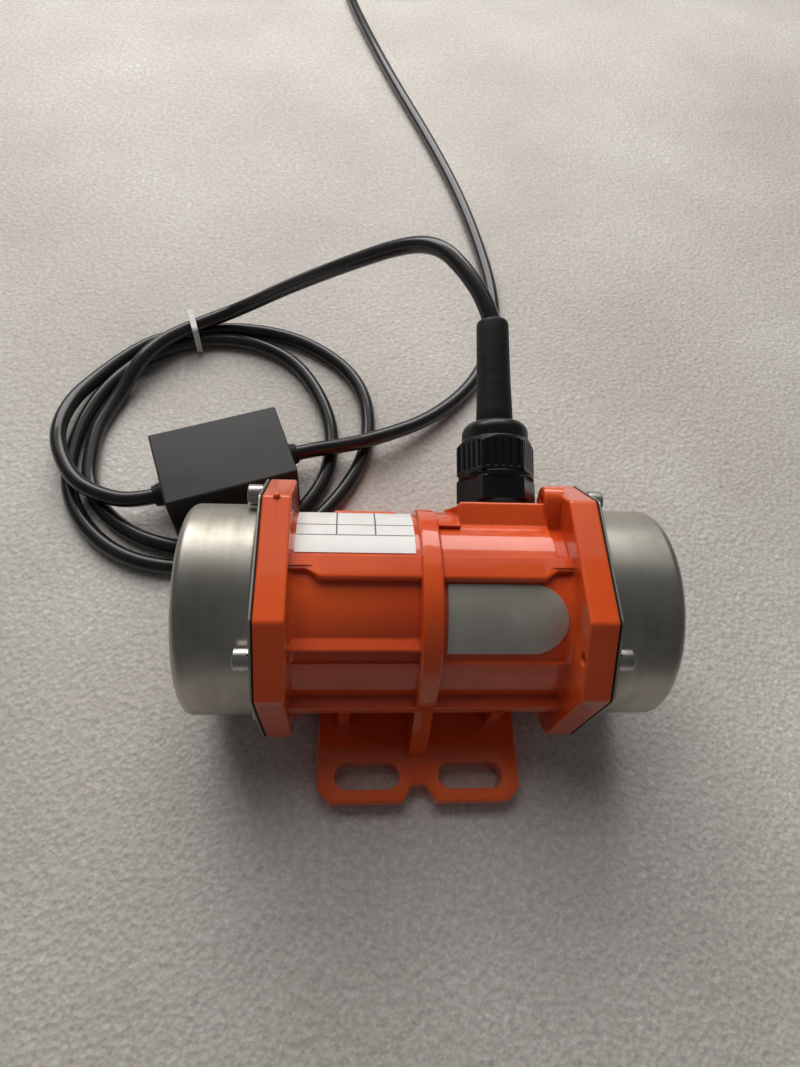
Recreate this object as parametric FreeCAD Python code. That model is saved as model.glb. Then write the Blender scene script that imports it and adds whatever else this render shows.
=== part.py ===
import FreeCAD, Part
import math
import os

# Small foot-mounted vibration motor with its run-capacitor box and mains lead.
# Millimetres. The rotor turns about X, +Y is the cable side, +Z is up.
# The origin is on the foot's underside, at the centre of its four slots.

V = FreeCAD.Vector

# Overall
motor_length = 155.0
axis_height = 39.5
fit_gap = 0.05
running_gap = 0.05

# Cast housing
barrel_radius = 29.6
bore_radius = 26.6
saddle_radius = 32.4
saddle_rear_height = 12.0
lip_height = 32.7
lip_front = 4.2
lip_back = 3.6
lip_notch = 3.3
lip_notch_from_flange = 9.0
lip_notch_ramp = 4.0
lip_ramp_drop = 0.7
lip_edge = 1.2
saddle_strip_width = 4.6
saddle_strip_drop = 1.9
barrel_root_radius = 2.2
panel_radius = 30.3
panel_top = 16.6
band_half_depth = 34.4
band_thickness = 6.0
front_rib_height = 22.5
front_rib_reach = 23.4
front_rib_thickness = 1.8
ring_radius = 34.4
ring_width = 6.2
ring_draft = 0.9
ring_edge = 1.0
ring_centre_x = -0.5
step_radius = 33.7

# End flanges, an octagon with four long and four short sides
flange_thickness = 9.0
cap_depth = 25.0
flange_flat = 38.45
flange_corner = 41.9
flange_corner_radius = 2.4
flange_edge = 0.9
flange_nub_side = 20.4
flange_nub_radius = 1.1
shield_seat_radius = 30.5
shield_seat_depth = 6.0
boss_width = 9.0
boss_reach = 13.5
boss_height = 40.6
boss_knee_share = 0.59
boss_edge_share = 0.145
lug_radius = 4.8
lug_length = 5.6

# Foot
foot_half_length = 35.4
foot_half_width = 58.3
foot_thickness = 8.5
foot_corner = 4.5
foot_edge = 1.0
foot_pad_width = 22.0
foot_relief = 1.2
slot_width = 9.0
slot_length = 22.6
slot_centre_x = 18.1
slot_centre_y = 49.4
notch_depth = 5.7
notch_half_top = 2.4
notch_half_mouth = 5.8
web_reach = 43.3
pedestal_half_length = 31.0
pedestal_half_width = 13.0
gusset_centre_x = 26.4
gusset_thickness = 4.2
gusset_reach = 32.2

# Caps, gaskets and their screws
cap_radius = 34.9
cap_wall = 0.8
cap_sheet = 0.6
cap_edge_radius = 3.2
cap_root_radius = 1.6
gasket_thickness = 0.4
gasket_inset = 0.3
screw_circle_radius = 38.95
cap_screw_size = 4.0
cap_screw_length = 10.0
cap_screw_hole_gap = 0.25
socket_head_ratio = 1.75
socket_key_ratio = 0.75
washer_thickness = 0.7
washer_radius = 3.4

# Cable gland, on an inclined pad
pad_from_flange = 18.7
pad_width = 30.0
pad_tilt = 20.0
pad_face_y = 30.15
pad_face_height = 17.1
pad_half_height = 13.2
pad_depth = 26.0
pad_edge = 1.2
pad_flare = 3.4
pad_flare_rise = 9.0
gland_from_pad = 0.4
gland_thread_radius = 10.0
gland_thread_length = 7.0
gland_bore_radius = 5.4
gland_washer_thickness = 1.5
gland_washer_radius = 12.4
gland_hex_flat = 24.0
gland_hex_length = 8.0
gland_collar_radius = 13.1
gland_collar_length = 1.7
gland_neck_radius = 9.2
gland_neck_length = 11.0
nut_gap = 0.3
nut_hex_length = 12.3
nut_dome_length = 6.8
nut_dome_radius = 11.6
nut_mouth_radius = 7.0
nut_chamfer = 2.2
nut_rib_depth = 0.45
nut_rib_count = 30
sleeve_radius = 6.15
sleeve_length = 45.4
sleeve_end_radius = 1.2

# Cable, one size for the motor lead and the mains lead
cable_diameter = 6.6

# Electrical core
stator_from_flange = 23.5
stator_inner_radius = 15.6
slot_count = 12
stator_slot_width = 3.4
stator_slot_depth = 6.2
coil_end_length = 12.0
coil_gap = 0.25
coil_inner_radius = 17.0
coil_outer_radius = 25.6
air_gap = 0.4
end_ring_length = 4.0
end_ring_radius = 14.4
end_ring_bore_gap = 1.2

# Bearings, 12 x 32 x 10 mm
bearing_bore_radius = 6.0
bearing_outer_radius = 16.0
bearing_width = 10.0
ball_radius = 2.95
ball_count = 7
ball_gap = 0.12
race_land = 2.6
cage_half_height = 0.8
cage_half_width = 3.5
shield_hub_radius = 19.0
shield_lip = 2.0
shield_lip_radius = 9.5
shield_screw_circle = 28.2
shield_screw_size = 2.5
shield_screw_length = 8.0

# Shaft and eccentric weights
shaft_end_room = 3.5
shaft_core_radius = 7.5
shaft_end_chamfer = 0.8
weight_radius = 31.0
weight_thickness = 6.5
weight_gap = 0.5
weight_hub_radius = 11.0
weight_top_offset = 2.0
weight_bottom_radius = 1.5
ear_half_width = 8.0
ear_height = 16.0
ear_slit = 1.6
clamp_screw_height = 11.6
clamp_screw_size = 3.0
spacer_length = 3.6
spacer_radius = 8.2
clip_thickness = 1.0
clip_radius = 8.4
clip_groove_depth = 0.6
clip_mouth = 5.0
thrust_washer_thickness = 1.0
thrust_washer_radius = 9.0

# Plates on the housing
nameplate_thickness = 0.5
nameplate_start_x = 4.4
nameplate_from_flange = 1.9
nameplate_top_angle = 98.5
nameplate_bottom_angle = 140.0
label_thickness = 0.2
label_from_flange = 1.2
label_end_x = -5.3
label_front_angle = 82.0
label_rear_angle = 34.0

# Capacitor box
box_length = 53.0
box_width = 35.0
box_height = 26.0
box_wall = 2.0
box_edge = 0.8
box_centre = V(-76.9, 73.5, 0)
box_turn = 19.0
box_base_thickness = 2.0
grommet_radius = 5.2
grommet_length = 4.5
grommet_height = 10.2
entry_offset = -1.5
exit_offset = 2.2
capacitor_length = 37.0
capacitor_width = 21.0
capacitor_height = 19.0

# Loose loops of the motor lead
loop_outer_centre = V(-82, 97, 0)
loop_outer_half_x = 67.5
loop_outer_half_y = 71.4
loop_inner_centre = V(-86, 98.4, 0)
loop_inner_half_x = 47.8
loop_inner_half_y = 56.4
loop_clearance = 1.2
double_layer_start = 95.0
double_layer_end = 212.0
tie_angle = 107.0
tie_width = 2.6
tie_thickness = 0.9
tie_inner_width = 14.4
tie_head = 4.0
tie_head_depth = 2.6
tie_head_height = 2.4

# Put-away coil of the mains lead, and its plug
store_coil_centre = V(6, 575, 0)
store_coil_radius = 36.0
store_coil_layers = 2
plug_length = 40.0
plug_width = 34.0
plug_height = 22.0
plug_edge = 3.0
plug_centre = V(113, 609.5, 0)
plug_turn = 0.0
plug_nose_length = 14.0
pin_length = 18.0
pin_width = 6.3
pin_thickness = 1.6
pin_spread = 7.9
pin_tilt = 30.0
earth_pin_drop = 6.0
earth_pin_extra = 3.0

# Values that follow from the ones above
cable_radius = cable_diameter / 2
flange_outer_x = motor_length / 2 - cap_depth
flange_inner_x = flange_outer_x - flange_thickness
lip_notch_start = flange_inner_x - lip_notch_from_flange
lip_notch_end = lip_notch_start + lip_notch_ramp
pad_centre_x = flange_inner_x - pad_from_flange
gland_x = pad_centre_x + gland_from_pad
stator_half_length = flange_inner_x - stator_from_flange
shaft_half_length = motor_length / 2 - shaft_end_room
nameplate_end_x = flange_inner_x - nameplate_from_flange
label_start_x = label_from_flange - flange_inner_x
gasket_outer_x = flange_outer_x + gasket_thickness
plate_outer_x = gasket_outer_x + cap_sheet
bearing_inner_x = flange_outer_x - bearing_width
shield_inner_x = bearing_inner_x - shield_lip
ball_pitch_radius = (bearing_bore_radius + bearing_outer_radius) / 2
fixed_weight_x = flange_outer_x + spacer_length
adjustable_weight_x = fixed_weight_x + weight_thickness + weight_gap
thrust_washer_x = adjustable_weight_x + weight_thickness + weight_gap
clip_x = thrust_washer_x + thrust_washer_thickness
screw_head_x = plate_outer_x + washer_thickness
nut_start = gland_washer_thickness + gland_hex_length + gland_collar_length + nut_gap
nut_end = nut_start + nut_hex_length + nut_dome_length
sleeve_start = nut_end - nut_dome_length
sleeve_mouth = sleeve_start + sleeve_length
corner_angles = (45, 135, 225, 315)


def save(name, shape):
    shape.exportStep("parts/" + name + ".step")
    print(name, len(shape.Solids), "solids", round(shape.Volume / 1000, 2), "cm3")


def cylinder_x(radius, start_x, end_x):
    return Part.makeCylinder(radius, end_x - start_x, V(start_x, 0, axis_height), V(1, 0, 0))


def ring_x(outer, inner, start_x, end_x):
    return cylinder_x(outer, start_x, end_x).cut(cylinder_x(inner, start_x, end_x))


def block(low, high):
    size = high - low
    return Part.makeBox(size.x, size.y, size.z, low)


def axis_block(low, high):
    """A block whose heights are counted from the rotor axis."""
    lift = V(0, 0, axis_height)
    return block(low + lift, high + lift)


def prism_x(outline, start_x, end_x):
    """Extrude (y, height above the axis) points along X."""
    points = [V(start_x, y, axis_height + z) for y, z in outline]
    face = Part.Face(Part.makePolygon(points + points[:1]))
    return face.extrude(V(end_x - start_x, 0, 0))


def prism_z(outline, low_z, high_z):
    points = [V(x, y, low_z) for x, y in outline]
    face = Part.Face(Part.makePolygon(points + points[:1]))
    return face.extrude(V(0, 0, high_z - low_z))


def revolve_x(outline):
    """Turn (x, radius) points about the rotor axis."""
    points = [V(x, 0, axis_height + radius) for x, radius in outline]
    face = Part.Face(Part.makePolygon(points + points[:1]))
    return face.revolve(V(0, 0, axis_height), V(1, 0, 0), 360)


def revolve_z(outline):
    """Turn (radius, height) points about Z."""
    points = [V(radius, 0, height) for radius, height in outline]
    face = Part.Face(Part.makePolygon(points + points[:1]))
    return face.revolve(V(0, 0, 0), V(0, 0, 1), 360)


def mirror_x(shape):
    return shape.mirror(V(0, 0, 0), V(1, 0, 0))


def turn_about_axis(shape, angle):
    turned = shape.copy()
    turned.rotate(V(0, 0, axis_height), V(1, 0, 0), angle)
    return turned


def edges_along(shape, direction):
    found = []
    for edge in shape.Edges:
        if isinstance(edge.Curve, Part.Line) and abs(edge.Curve.Direction.dot(direction)) > 0.999:
            found.append(edge)
    return found


def octagon_x(start_x, end_x, inset=0.0, edge=0.0):
    """Flange outline: long sides front, back, top and bottom, short sides at the corners."""
    flat = flange_flat - inset
    half_side = (flange_corner - inset) * math.sqrt(2) - flat
    outline = []
    for y_sign, z_sign in ((1, 1), (-1, 1), (-1, -1), (1, -1)):
        corner = [(y_sign * flat, z_sign * half_side), (y_sign * half_side, z_sign * flat)]
        if y_sign * z_sign < 0:
            corner.reverse()
        outline += corner
    plate = prism_x(outline, start_x, end_x)
    plate = plate.makeFillet(flange_corner_radius, edges_along(plate, V(1, 0, 0)))
    if edge > 0:
        rims = [e for e in plate.Edges if abs(e.BoundBox.XMax - e.BoundBox.XMin) < 0.01]
        plate = plate.makeFillet(edge, rims)
    return plate


def screw_places():
    """Centre of each cap screw around the axis, as (y, height above the axis)."""
    places = []
    for angle in corner_angles:
        turn = math.radians(angle)
        places.append((screw_circle_radius * math.cos(turn), screw_circle_radius * math.sin(turn)))
    return places


def screw_hole_cutters(radius, start_x, end_x):
    cutters = []
    for y, z in screw_places():
        centre = V(start_x, y, axis_height + z)
        cutters.append(Part.makeCylinder(radius, end_x - start_x, centre, V(1, 0, 0)))
    return cutters


def socket_screw(size, length, direction_length=1.0):
    """Socket-head screw along Z, with the head's underside at the origin."""
    head_radius = socket_head_ratio * size / 2
    head = Part.makeCylinder(head_radius, size)
    rim = [e for e in head.Edges if abs(e.BoundBox.ZMin - size) < 0.01 and e.BoundBox.ZLength < 0.01]
    head = head.makeChamfer(size * 0.08, rim)
    shank = Part.makeCylinder(size / 2 - fit_gap, length, V(0, 0, -length))
    key_radius = socket_key_ratio * size / math.sqrt(3)
    key = Part.makeCylinder(key_radius, size / 2, V(0, 0, size / 2))
    hexagon = hexagon_z(socket_key_ratio * size, size / 2, size)
    return head.fuse(shank).cut(hexagon.common(key))


def hexagon_z(across_flats, low_z, high_z):
    """Hexagonal bar along Z with two flats square to Y."""
    corner = across_flats / math.sqrt(3)
    outline = []
    for index in range(6):
        turn = math.radians(60 * index)
        outline.append((corner * math.cos(turn), corner * math.sin(turn)))
    return prism_z(outline, low_z, high_z)


def gland_place(shape):
    """Move a shape built along Z onto the inclined gland pad."""
    placed = shape.copy()
    tilt = FreeCAD.Rotation(V(1, 0, 0), pad_tilt - 90)
    origin = V(gland_x, pad_face_y, axis_height + pad_face_height)
    placed.Placement = FreeCAD.Placement(origin, tilt)
    return placed


def gland_point(distance):
    """A point on the gland's centre line, at a distance from the pad's face."""
    turn = math.radians(pad_tilt)
    reach = V(0, math.cos(turn), math.sin(turn)) * distance
    return V(gland_x, pad_face_y, axis_height + pad_face_height) + reach


def barrel_outside():
    """Barrel with its top saddle, lip, front panel step, ribs and the bands at axis height."""
    end = flange_inner_x + 1
    barrel = cylinder_x(barrel_radius, -end, end)
    saddle = cylinder_x(saddle_radius, -end, end)
    saddle = saddle.common(axis_block(V(-end, 0, saddle_rear_height), V(end, 40, 40)))
    strip = ring_x(saddle_radius + 1, saddle_radius - saddle_strip_drop,
                   flange_inner_x - saddle_strip_width, flange_inner_x)
    saddle = saddle.cut(strip.common(axis_block(V(0, lip_back, 0), V(end, 40, 40))))
    panel = cylinder_x(panel_radius, -end, end)
    panel = panel.common(axis_block(V(-end, -40, -1), V(end, -10, panel_top)))
    lip_outline = [
        (-end, lip_back),
        (-end, lip_notch - lip_front),
        (-lip_notch_end, lip_notch - lip_front),
        (-lip_notch_start, -lip_front),
        (lip_notch_start, -lip_front),
        (lip_notch_end, lip_notch - lip_front),
        (end, lip_notch - lip_front),
        (end, lip_back),
    ]
    lip = prism_z(lip_outline, axis_height + barrel_radius / 2, axis_height + lip_height)
    inner_corners = []
    for edge in edges_along(lip, V(0, 0, 1)):
        if abs(edge.BoundBox.Center.x) < lip_notch_end + 1:
            inner_corners.append(edge)
    lip = lip.makeFillet(2.0, inner_corners)
    front_edges = []
    for edge in lip.Edges:
        box = edge.BoundBox
        if box.ZLength < 0.01 and box.ZMin > axis_height + lip_height - 0.01 and box.YMax < lip_back - 0.1:
            if box.XLength > 0.5 and box.Center.x > -end and box.Center.x < end:
                front_edges.append(edge)
    lip = lip.makeFillet(lip_edge, front_edges)
    for sign in (-1, 1):
        ramp = [
            V(sign * end * 2, 0, lip_height - lip_ramp_drop),
            V(sign * lip_notch_end, 0, lip_height - lip_ramp_drop),
            V(sign * lip_notch_start, 0, lip_height + 0.01),
            V(sign * end * 2, 0, lip_height + 1),
        ]
        face = Part.Face(Part.makePolygon(ramp + ramp[:1]))
        face.translate(V(0, -lip_front - 1, axis_height))
        lip = lip.cut(face.extrude(V(0, lip_front + lip_back + 2, 0)))
    bands = axis_block(V(-end, -band_half_depth, -band_thickness), V(end, band_half_depth, 0))
    band_edges = edges_along(bands, V(1, 0, 0))
    bands = bands.makeFillet(1.0, band_edges)
    rib = axis_block(
        V(-end, -front_rib_reach, front_rib_height - front_rib_thickness),
        V(0, -front_rib_reach / 2, front_rib_height),
    )
    rib = rib.makeFillet(0.5, [e for e in edges_along(rib, V(1, 0, 0))
                               if e.BoundBox.YMin < -front_rib_reach + 1])
    root = root_ring(barrel_radius, barrel_root_radius, flange_inner_x, -1)
    return barrel.fuse([saddle, panel, lip, bands, rib, root, mirror_x(root)])


def root_ring(radius, fillet, face_x, side):
    """Concave fillet between a cylinder about the axis and a face square to it."""
    low = min(face_x, face_x + side * fillet)
    high = max(face_x, face_x + side * fillet)
    block_ring = ring_x(radius + fillet, radius - 0.5, low, high)
    centre = V(face_x + side * fillet, 0, axis_height)
    return block_ring.cut(Part.makeTorus(radius + fillet, fillet, centre, V(1, 0, 0)))


def centre_ring():
    """Ring round the middle with drafted sides, and the web that stands on the foot."""
    half = ring_width / 2
    base = half + ring_draft
    ring = revolve_x([
        (ring_centre_x - base, barrel_radius - 1),
        (ring_centre_x - half, ring_radius),
        (ring_centre_x + half, ring_radius),
        (ring_centre_x + base, barrel_radius - 1),
    ])
    rims = []
    for edge in ring.Edges:
        if edge.BoundBox.XLength < 0.01 and edge.BoundBox.ZMax > axis_height + ring_radius - 0.01:
            rims.append(edge)
    ring = ring.makeFillet(ring_edge, rims)
    foot_top = foot_thickness - axis_height - 0.5
    side = ring_radius - 0.3
    outline = [(-side, -3), (-web_reach, foot_top), (web_reach, foot_top), (side, -3)]
    web = prism_x(outline, ring_centre_x - half, ring_centre_x + half)
    step_start, step_end = sorted((ring_centre_x, pad_centre_x - pad_width / 2))
    step = cylinder_x(step_radius, step_start, step_end)
    step = step.common(axis_block(V(0, 16, saddle_rear_height), V(40, 40, 31)))
    return ring.fuse([web, step])


def flange_boss(angle):
    """Sloping rib behind a screw, from the barrel out to the right-hand flange."""
    inner = barrel_radius - 2
    rise = boss_height - barrel_radius
    outline = [
        V(flange_inner_x + 1, 0, inner),
        V(flange_inner_x + 1, 0, boss_height),
        V(flange_inner_x, 0, boss_height),
        V(flange_inner_x - boss_reach * 0.35, 0, barrel_radius + rise * boss_knee_share),
        V(flange_inner_x - boss_reach, 0, barrel_radius),
        V(flange_inner_x - boss_reach, 0, inner),
    ]
    face = Part.Face(Part.makePolygon(outline + outline[:1]))
    face.translate(V(0, -boss_width / 2, axis_height))
    rib = face.extrude(V(0, boss_width, 0))
    sides = [e for e in rib.Edges if e.BoundBox.YLength < 0.01 and e.BoundBox.ZMin > axis_height + barrel_radius - 0.1]
    slopes = [e for e in sides if e.BoundBox.XMax < flange_inner_x + 0.1]
    rib = rib.makeFillet(rise * boss_edge_share, slopes)
    return turn_about_axis(rib, angle - 90)


def screw_lug():
    """Round lug behind the screw beside the gland pad, carried by the barrel."""
    lug_start = flange_inner_x - lug_length
    lug = Part.makeCylinder(lug_radius, lug_length + 1, V(lug_start, 0, axis_height + screw_circle_radius), V(1, 0, 0))
    web = axis_block(V(lug_start, -lug_radius, barrel_radius - 2), V(flange_inner_x + 1, lug_radius, screw_circle_radius))
    rim = [e for e in lug.Edges if e.BoundBox.XMax < lug_start + 0.01]
    return turn_about_axis(lug.makeFillet(0.8, rim).fuse(web), 45 - 90)


def foot():
    """Foot plate with cut corners, a V notch at each long edge and four slots."""
    length = foot_half_length
    width = foot_half_width
    near_edge = [
        (-length, -width + foot_corner),
        (-length + foot_corner, -width),
        (-notch_half_mouth, -width),
        (-notch_half_top, notch_depth - width),
        (notch_half_top, notch_depth - width),
        (notch_half_mouth, -width),
        (length - foot_corner, -width),
        (length, -width + foot_corner),
    ]
    far_edge = [(-x, -y) for x, y in near_edge]
    plate = prism_z(near_edge + far_edge, 0, foot_thickness)
    plate = plate.makeFillet(1.2, edges_along(plate, V(0, 0, 1)))
    rims = [e for e in plate.Edges if e.BoundBox.ZMin > foot_thickness - 0.01]
    plate = plate.makeFillet(foot_edge, rims)
    relief_half = foot_half_width - foot_pad_width
    relief = block(V(-length - 1, -relief_half, -1), V(length + 1, relief_half, foot_relief))
    plate = plate.cut(relief)
    pedestal_top = axis_height - bore_radius - 1
    pedestal = block(
        V(-pedestal_half_length, -pedestal_half_width, foot_relief),
        V(pedestal_half_length, pedestal_half_width, pedestal_top),
    )
    gusset_foot = foot_thickness - axis_height - 0.5
    gusset_top = -band_thickness + 1
    side = band_half_depth - 2.6
    outline = [(-side, gusset_top), (-gusset_reach, gusset_foot), (gusset_reach, gusset_foot), (side, gusset_top)]
    gussets = []
    for sign in (-1, 1):
        centre = sign * gusset_centre_x
        gussets.append(prism_x(outline, centre - gusset_thickness / 2, centre + gusset_thickness / 2))
    return plate.fuse([pedestal] + gussets)


def slot_cutters():
    cutters = []
    straight = (slot_length - slot_width) / 2
    for x_sign in (-1, 1):
        for y_sign in (-1, 1):
            centre = V(x_sign * slot_centre_x, y_sign * slot_centre_y, -1)
            half = V(straight, slot_width / 2, 0)
            middle = block(centre - half, centre + half + V(0, 0, foot_thickness + 2))
            ends = []
            for end_sign in (-1, 1):
                end = centre + V(end_sign * straight, 0, 0)
                ends.append(Part.makeCylinder(slot_width / 2, foot_thickness + 2, end))
            cutters.append(middle.fuse(ends))
    return cutters


def gland_pad():
    """Flat-topped terminal pad, square to the gland and sunk into the barrel."""
    half = pad_width / 2
    offset = pad_centre_x - gland_x
    pad = block(V(offset - half, -pad_half_height, -pad_depth), V(offset + half, pad_half_height, 0))
    rims = [e for e in pad.Edges if e.BoundBox.ZMin > -0.01]
    rims += [e for e in edges_along(pad, V(0, 0, 1)) if e.BoundBox.YMax < 0]
    pad = pad.makeFillet(pad_edge, rims)
    top = -pad_half_height + pad_edge
    flare_end = top + pad_flare_rise
    flare_root = offset - half + 0.5
    flare_outline = [(flare_root, top), (offset - half - pad_flare, flare_end), (flare_root, flare_end)]
    flare = prism_z(flare_outline, -pad_depth, -pad_edge)
    return gland_place(pad.fuse(flare))


def housing():
    end_flange = octagon_x(flange_inner_x, flange_outer_x, 0, flange_edge)
    right_parts = [end_flange, flange_boss(225), flange_boss(315)]
    left_parts = [mirror_x(shape) for shape in right_parts]
    nub_x = flange_thickness / 2 - flange_outer_x
    nub = Part.makeSphere(flange_nub_radius, V(nub_x, flange_nub_side, axis_height + flange_flat))
    body = barrel_outside().fuse([centre_ring(), foot(), gland_pad(), screw_lug(), nub] + right_parts + left_parts)
    cutters = [cylinder_x(bore_radius, -motor_length, motor_length)]
    seat_inner = flange_outer_x - shield_seat_depth
    for sign in (-1, 1):
        low = min(sign * seat_inner, sign * (flange_outer_x + 1))
        high = max(sign * seat_inner, sign * (flange_outer_x + 1))
        cutters.append(cylinder_x(shield_seat_radius, low, high))
    hole_start = flange_inner_x - lug_length - 1
    cutters += screw_hole_cutters(cap_screw_size / 2, hole_start, flange_outer_x + 1)
    cutters += screw_hole_cutters(cap_screw_size / 2, -flange_outer_x - 1, -flange_inner_x + boss_reach)
    cutters += shield_screw_cutters()
    cutters += slot_cutters()
    thread = Part.makeCylinder(gland_thread_radius, gland_thread_length + 1, V(0, 0, -gland_thread_length))
    passage = Part.makeCylinder(gland_thread_radius - 2, pad_depth, V(0, 0, -pad_depth))
    cutters.append(gland_place(thread.fuse(passage)))
    return body.cut(cutters).removeSplitter()


def shield_screw_places(sign):
    places = []
    for angle in (90, 210, 330):
        turn = math.radians(angle)
        y = shield_screw_circle * math.cos(turn)
        z = shield_screw_circle * math.sin(turn)
        places.append(V(sign * flange_outer_x, y, axis_height + z))
    return places


def shield_screw_cutters():
    """Threaded holes in the housing's shoulder for the end shields."""
    cutters = []
    depth = shield_screw_length + 0.5
    for sign in (-1, 1):
        for place in shield_screw_places(sign):
            cutters.append(Part.makeCylinder(shield_screw_size / 2 + fit_gap, depth, place, V(-sign, 0, 0)))
    return cutters


def end_shield():
    """Right-hand bearing carrier: a disc with a hub that seats the bearing."""
    seat = flange_outer_x - shield_seat_depth
    disc = cylinder_x(shield_seat_radius - fit_gap, seat, flange_outer_x)
    hub = cylinder_x(shield_hub_radius, shield_inner_x, flange_outer_x)
    pocket = ring_x(shield_seat_radius - 5, shield_hub_radius + 1.5, flange_outer_x - 3, flange_outer_x + 1)
    shape = disc.cut(pocket)
    for place in shield_screw_places(1):
        lug_inner = V(seat, place.y, place.z)
        lug = Part.makeCylinder(shield_screw_size * 1.3, shield_seat_depth, lug_inner, V(1, 0, 0))
        shape = shape.fuse(lug.common(disc))
    shape = shape.fuse(hub)
    shape = shape.cut(cylinder_x(bearing_outer_radius + fit_gap / 2, bearing_inner_x, flange_outer_x + 1))
    shape = shape.cut(cylinder_x(shield_lip_radius, shield_inner_x - 1, bearing_inner_x + 1))
    head_depth = shield_screw_size + 0.2
    for place in shield_screw_places(1):
        clear = Part.makeCylinder(shield_screw_size / 2 + 0.2, 20, place + V(1, 0, 0), V(-1, 0, 0))
        sink = Part.makeCylinder(shield_screw_size, head_depth, place, V(-1, 0, 0))
        shape = shape.cut(clear.fuse(sink))
    return shape


def shield_screws():
    screws = []
    for sign in (-1, 1):
        turn = FreeCAD.Rotation(V(0, 1, 0), sign * 90)
        for place in shield_screw_places(sign):
            screw = socket_screw(shield_screw_size, shield_screw_length - shield_screw_size)
            head_base = place - V(sign * (shield_screw_size + 0.2), 0, 0)
            screw.Placement = FreeCAD.Placement(head_base, turn)
            screws.append(screw)
    return Part.makeCompound(screws)


def gasket():
    sheet = octagon_x(flange_outer_x, gasket_outer_x, gasket_inset)
    cutters = [cylinder_x(cap_radius - 2, 0, motor_length)]
    cutters += screw_hole_cutters(cap_screw_size / 2 + cap_screw_hole_gap, flange_outer_x - 1, motor_length)
    return sheet.cut(cutters)


def cap():
    """Right-hand drawn steel cap: a cup with a rounded rim and an octagonal flange."""
    end_x = motor_length / 2
    sheet = octagon_x(gasket_outer_x, plate_outer_x)
    outside = cylinder_x(cap_radius, gasket_outer_x, end_x)
    rim = [e for e in outside.Edges if e.BoundBox.XMin > end_x - 0.01]
    outside = outside.makeFillet(cap_edge_radius, rim)
    root = root_ring(cap_radius, cap_root_radius, plate_outer_x, 1)
    inside = cylinder_x(cap_radius - cap_wall, gasket_outer_x - 1, end_x - cap_wall)
    inner_rim = [e for e in inside.Edges if e.BoundBox.XMin > end_x - cap_wall - 0.01]
    inside = inside.makeFillet(cap_edge_radius - cap_wall, inner_rim)
    holes = screw_hole_cutters(cap_screw_size / 2 + cap_screw_hole_gap, flange_outer_x, gasket_outer_x + 2)
    head_room = screw_hole_cutters(washer_radius + 0.3, plate_outer_x, plate_outer_x + cap_root_radius + 1)
    root = root.cut(head_room)
    return sheet.fuse([outside, root]).cut([inside] + holes)


def cap_screws():
    screws = []
    for sign in (-1, 1):
        turn = FreeCAD.Rotation(V(0, 1, 0), sign * 90)
        for y, z in screw_places():
            screw = socket_screw(cap_screw_size, cap_screw_length)
            place = V(sign * screw_head_x, y, axis_height + z)
            screw.Placement = FreeCAD.Placement(place, turn)
            screws.append(screw)
    return Part.makeCompound(screws)


def cap_washers():
    """Spring washers, each a ring with a slanted cut."""
    washers = []
    for y, z in screw_places():
        place = V(plate_outer_x, y, axis_height + z)
        ring = Part.makeCylinder(washer_radius, washer_thickness, place, V(1, 0, 0))
        hole = Part.makeCylinder(cap_screw_size / 2 + 0.1, washer_thickness, place, V(1, 0, 0))
        split = Part.makeBox(washer_thickness, 0.6, washer_radius + 1, place - V(0, 0.3, 0))
        washers.append(ring.cut([hole, split]))
    return Part.makeCompound(washers + [mirror_x(washer) for washer in washers])


def stator_core():
    core = ring_x(bore_radius, stator_inner_radius, -stator_half_length, stator_half_length)
    cutters = []
    for index in range(slot_count):
        cutters.append(turn_about_axis(stator_slot(stator_slot_width, stator_slot_depth), index * 360 / slot_count))
    return core.cut(cutters)


def stator_slot(width, depth):
    """One winding slot above the axis, with its narrow mouth towards the rotor."""
    low = stator_inner_radius + 1.6
    length = stator_half_length + 1
    pocket = axis_block(V(-length, -width / 2, low), V(length, width / 2, low + depth))
    mouth = axis_block(V(-length, -width / 5, stator_inner_radius - 2), V(length, width / 5, low + 0.1))
    return pocket.fuse(mouth)


def stator_winding():
    """Copper end turns at both ends, joined by the bars that lie in the slots."""
    inner = stator_half_length + coil_gap
    outer = stator_half_length + coil_end_length
    ring = ring_x(coil_outer_radius, coil_inner_radius, inner, outer)
    rims = [e for e in ring.Edges if e.BoundBox.XMin > outer - 0.01]
    ring = ring.makeFillet(2.6, rims)
    low = stator_inner_radius + 1.6 + coil_gap
    high = stator_inner_radius + 1.6 + stator_slot_depth - coil_gap
    half = stator_slot_width / 2
    bar = axis_block(V(-inner - 0.5, -half, low), V(inner + 0.5, half, high))
    bars = [turn_about_axis(bar, index * 360 / slot_count) for index in range(slot_count)]
    return ring.fuse([mirror_x(ring)] + bars)


def bearing_ring(outer, inner):
    ring = ring_x(outer, inner, bearing_inner_x, flange_outer_x)
    centre = V(bearing_inner_x + bearing_width / 2, 0, axis_height)
    groove = Part.makeTorus(ball_pitch_radius, ball_radius + ball_gap, centre, V(1, 0, 0))
    return ring.cut(groove)


def bearing_outer():
    return bearing_ring(bearing_outer_radius, bearing_outer_radius - race_land)


def bearing_inner():
    return bearing_ring(bearing_bore_radius + race_land, bearing_bore_radius + fit_gap / 2)


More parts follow.
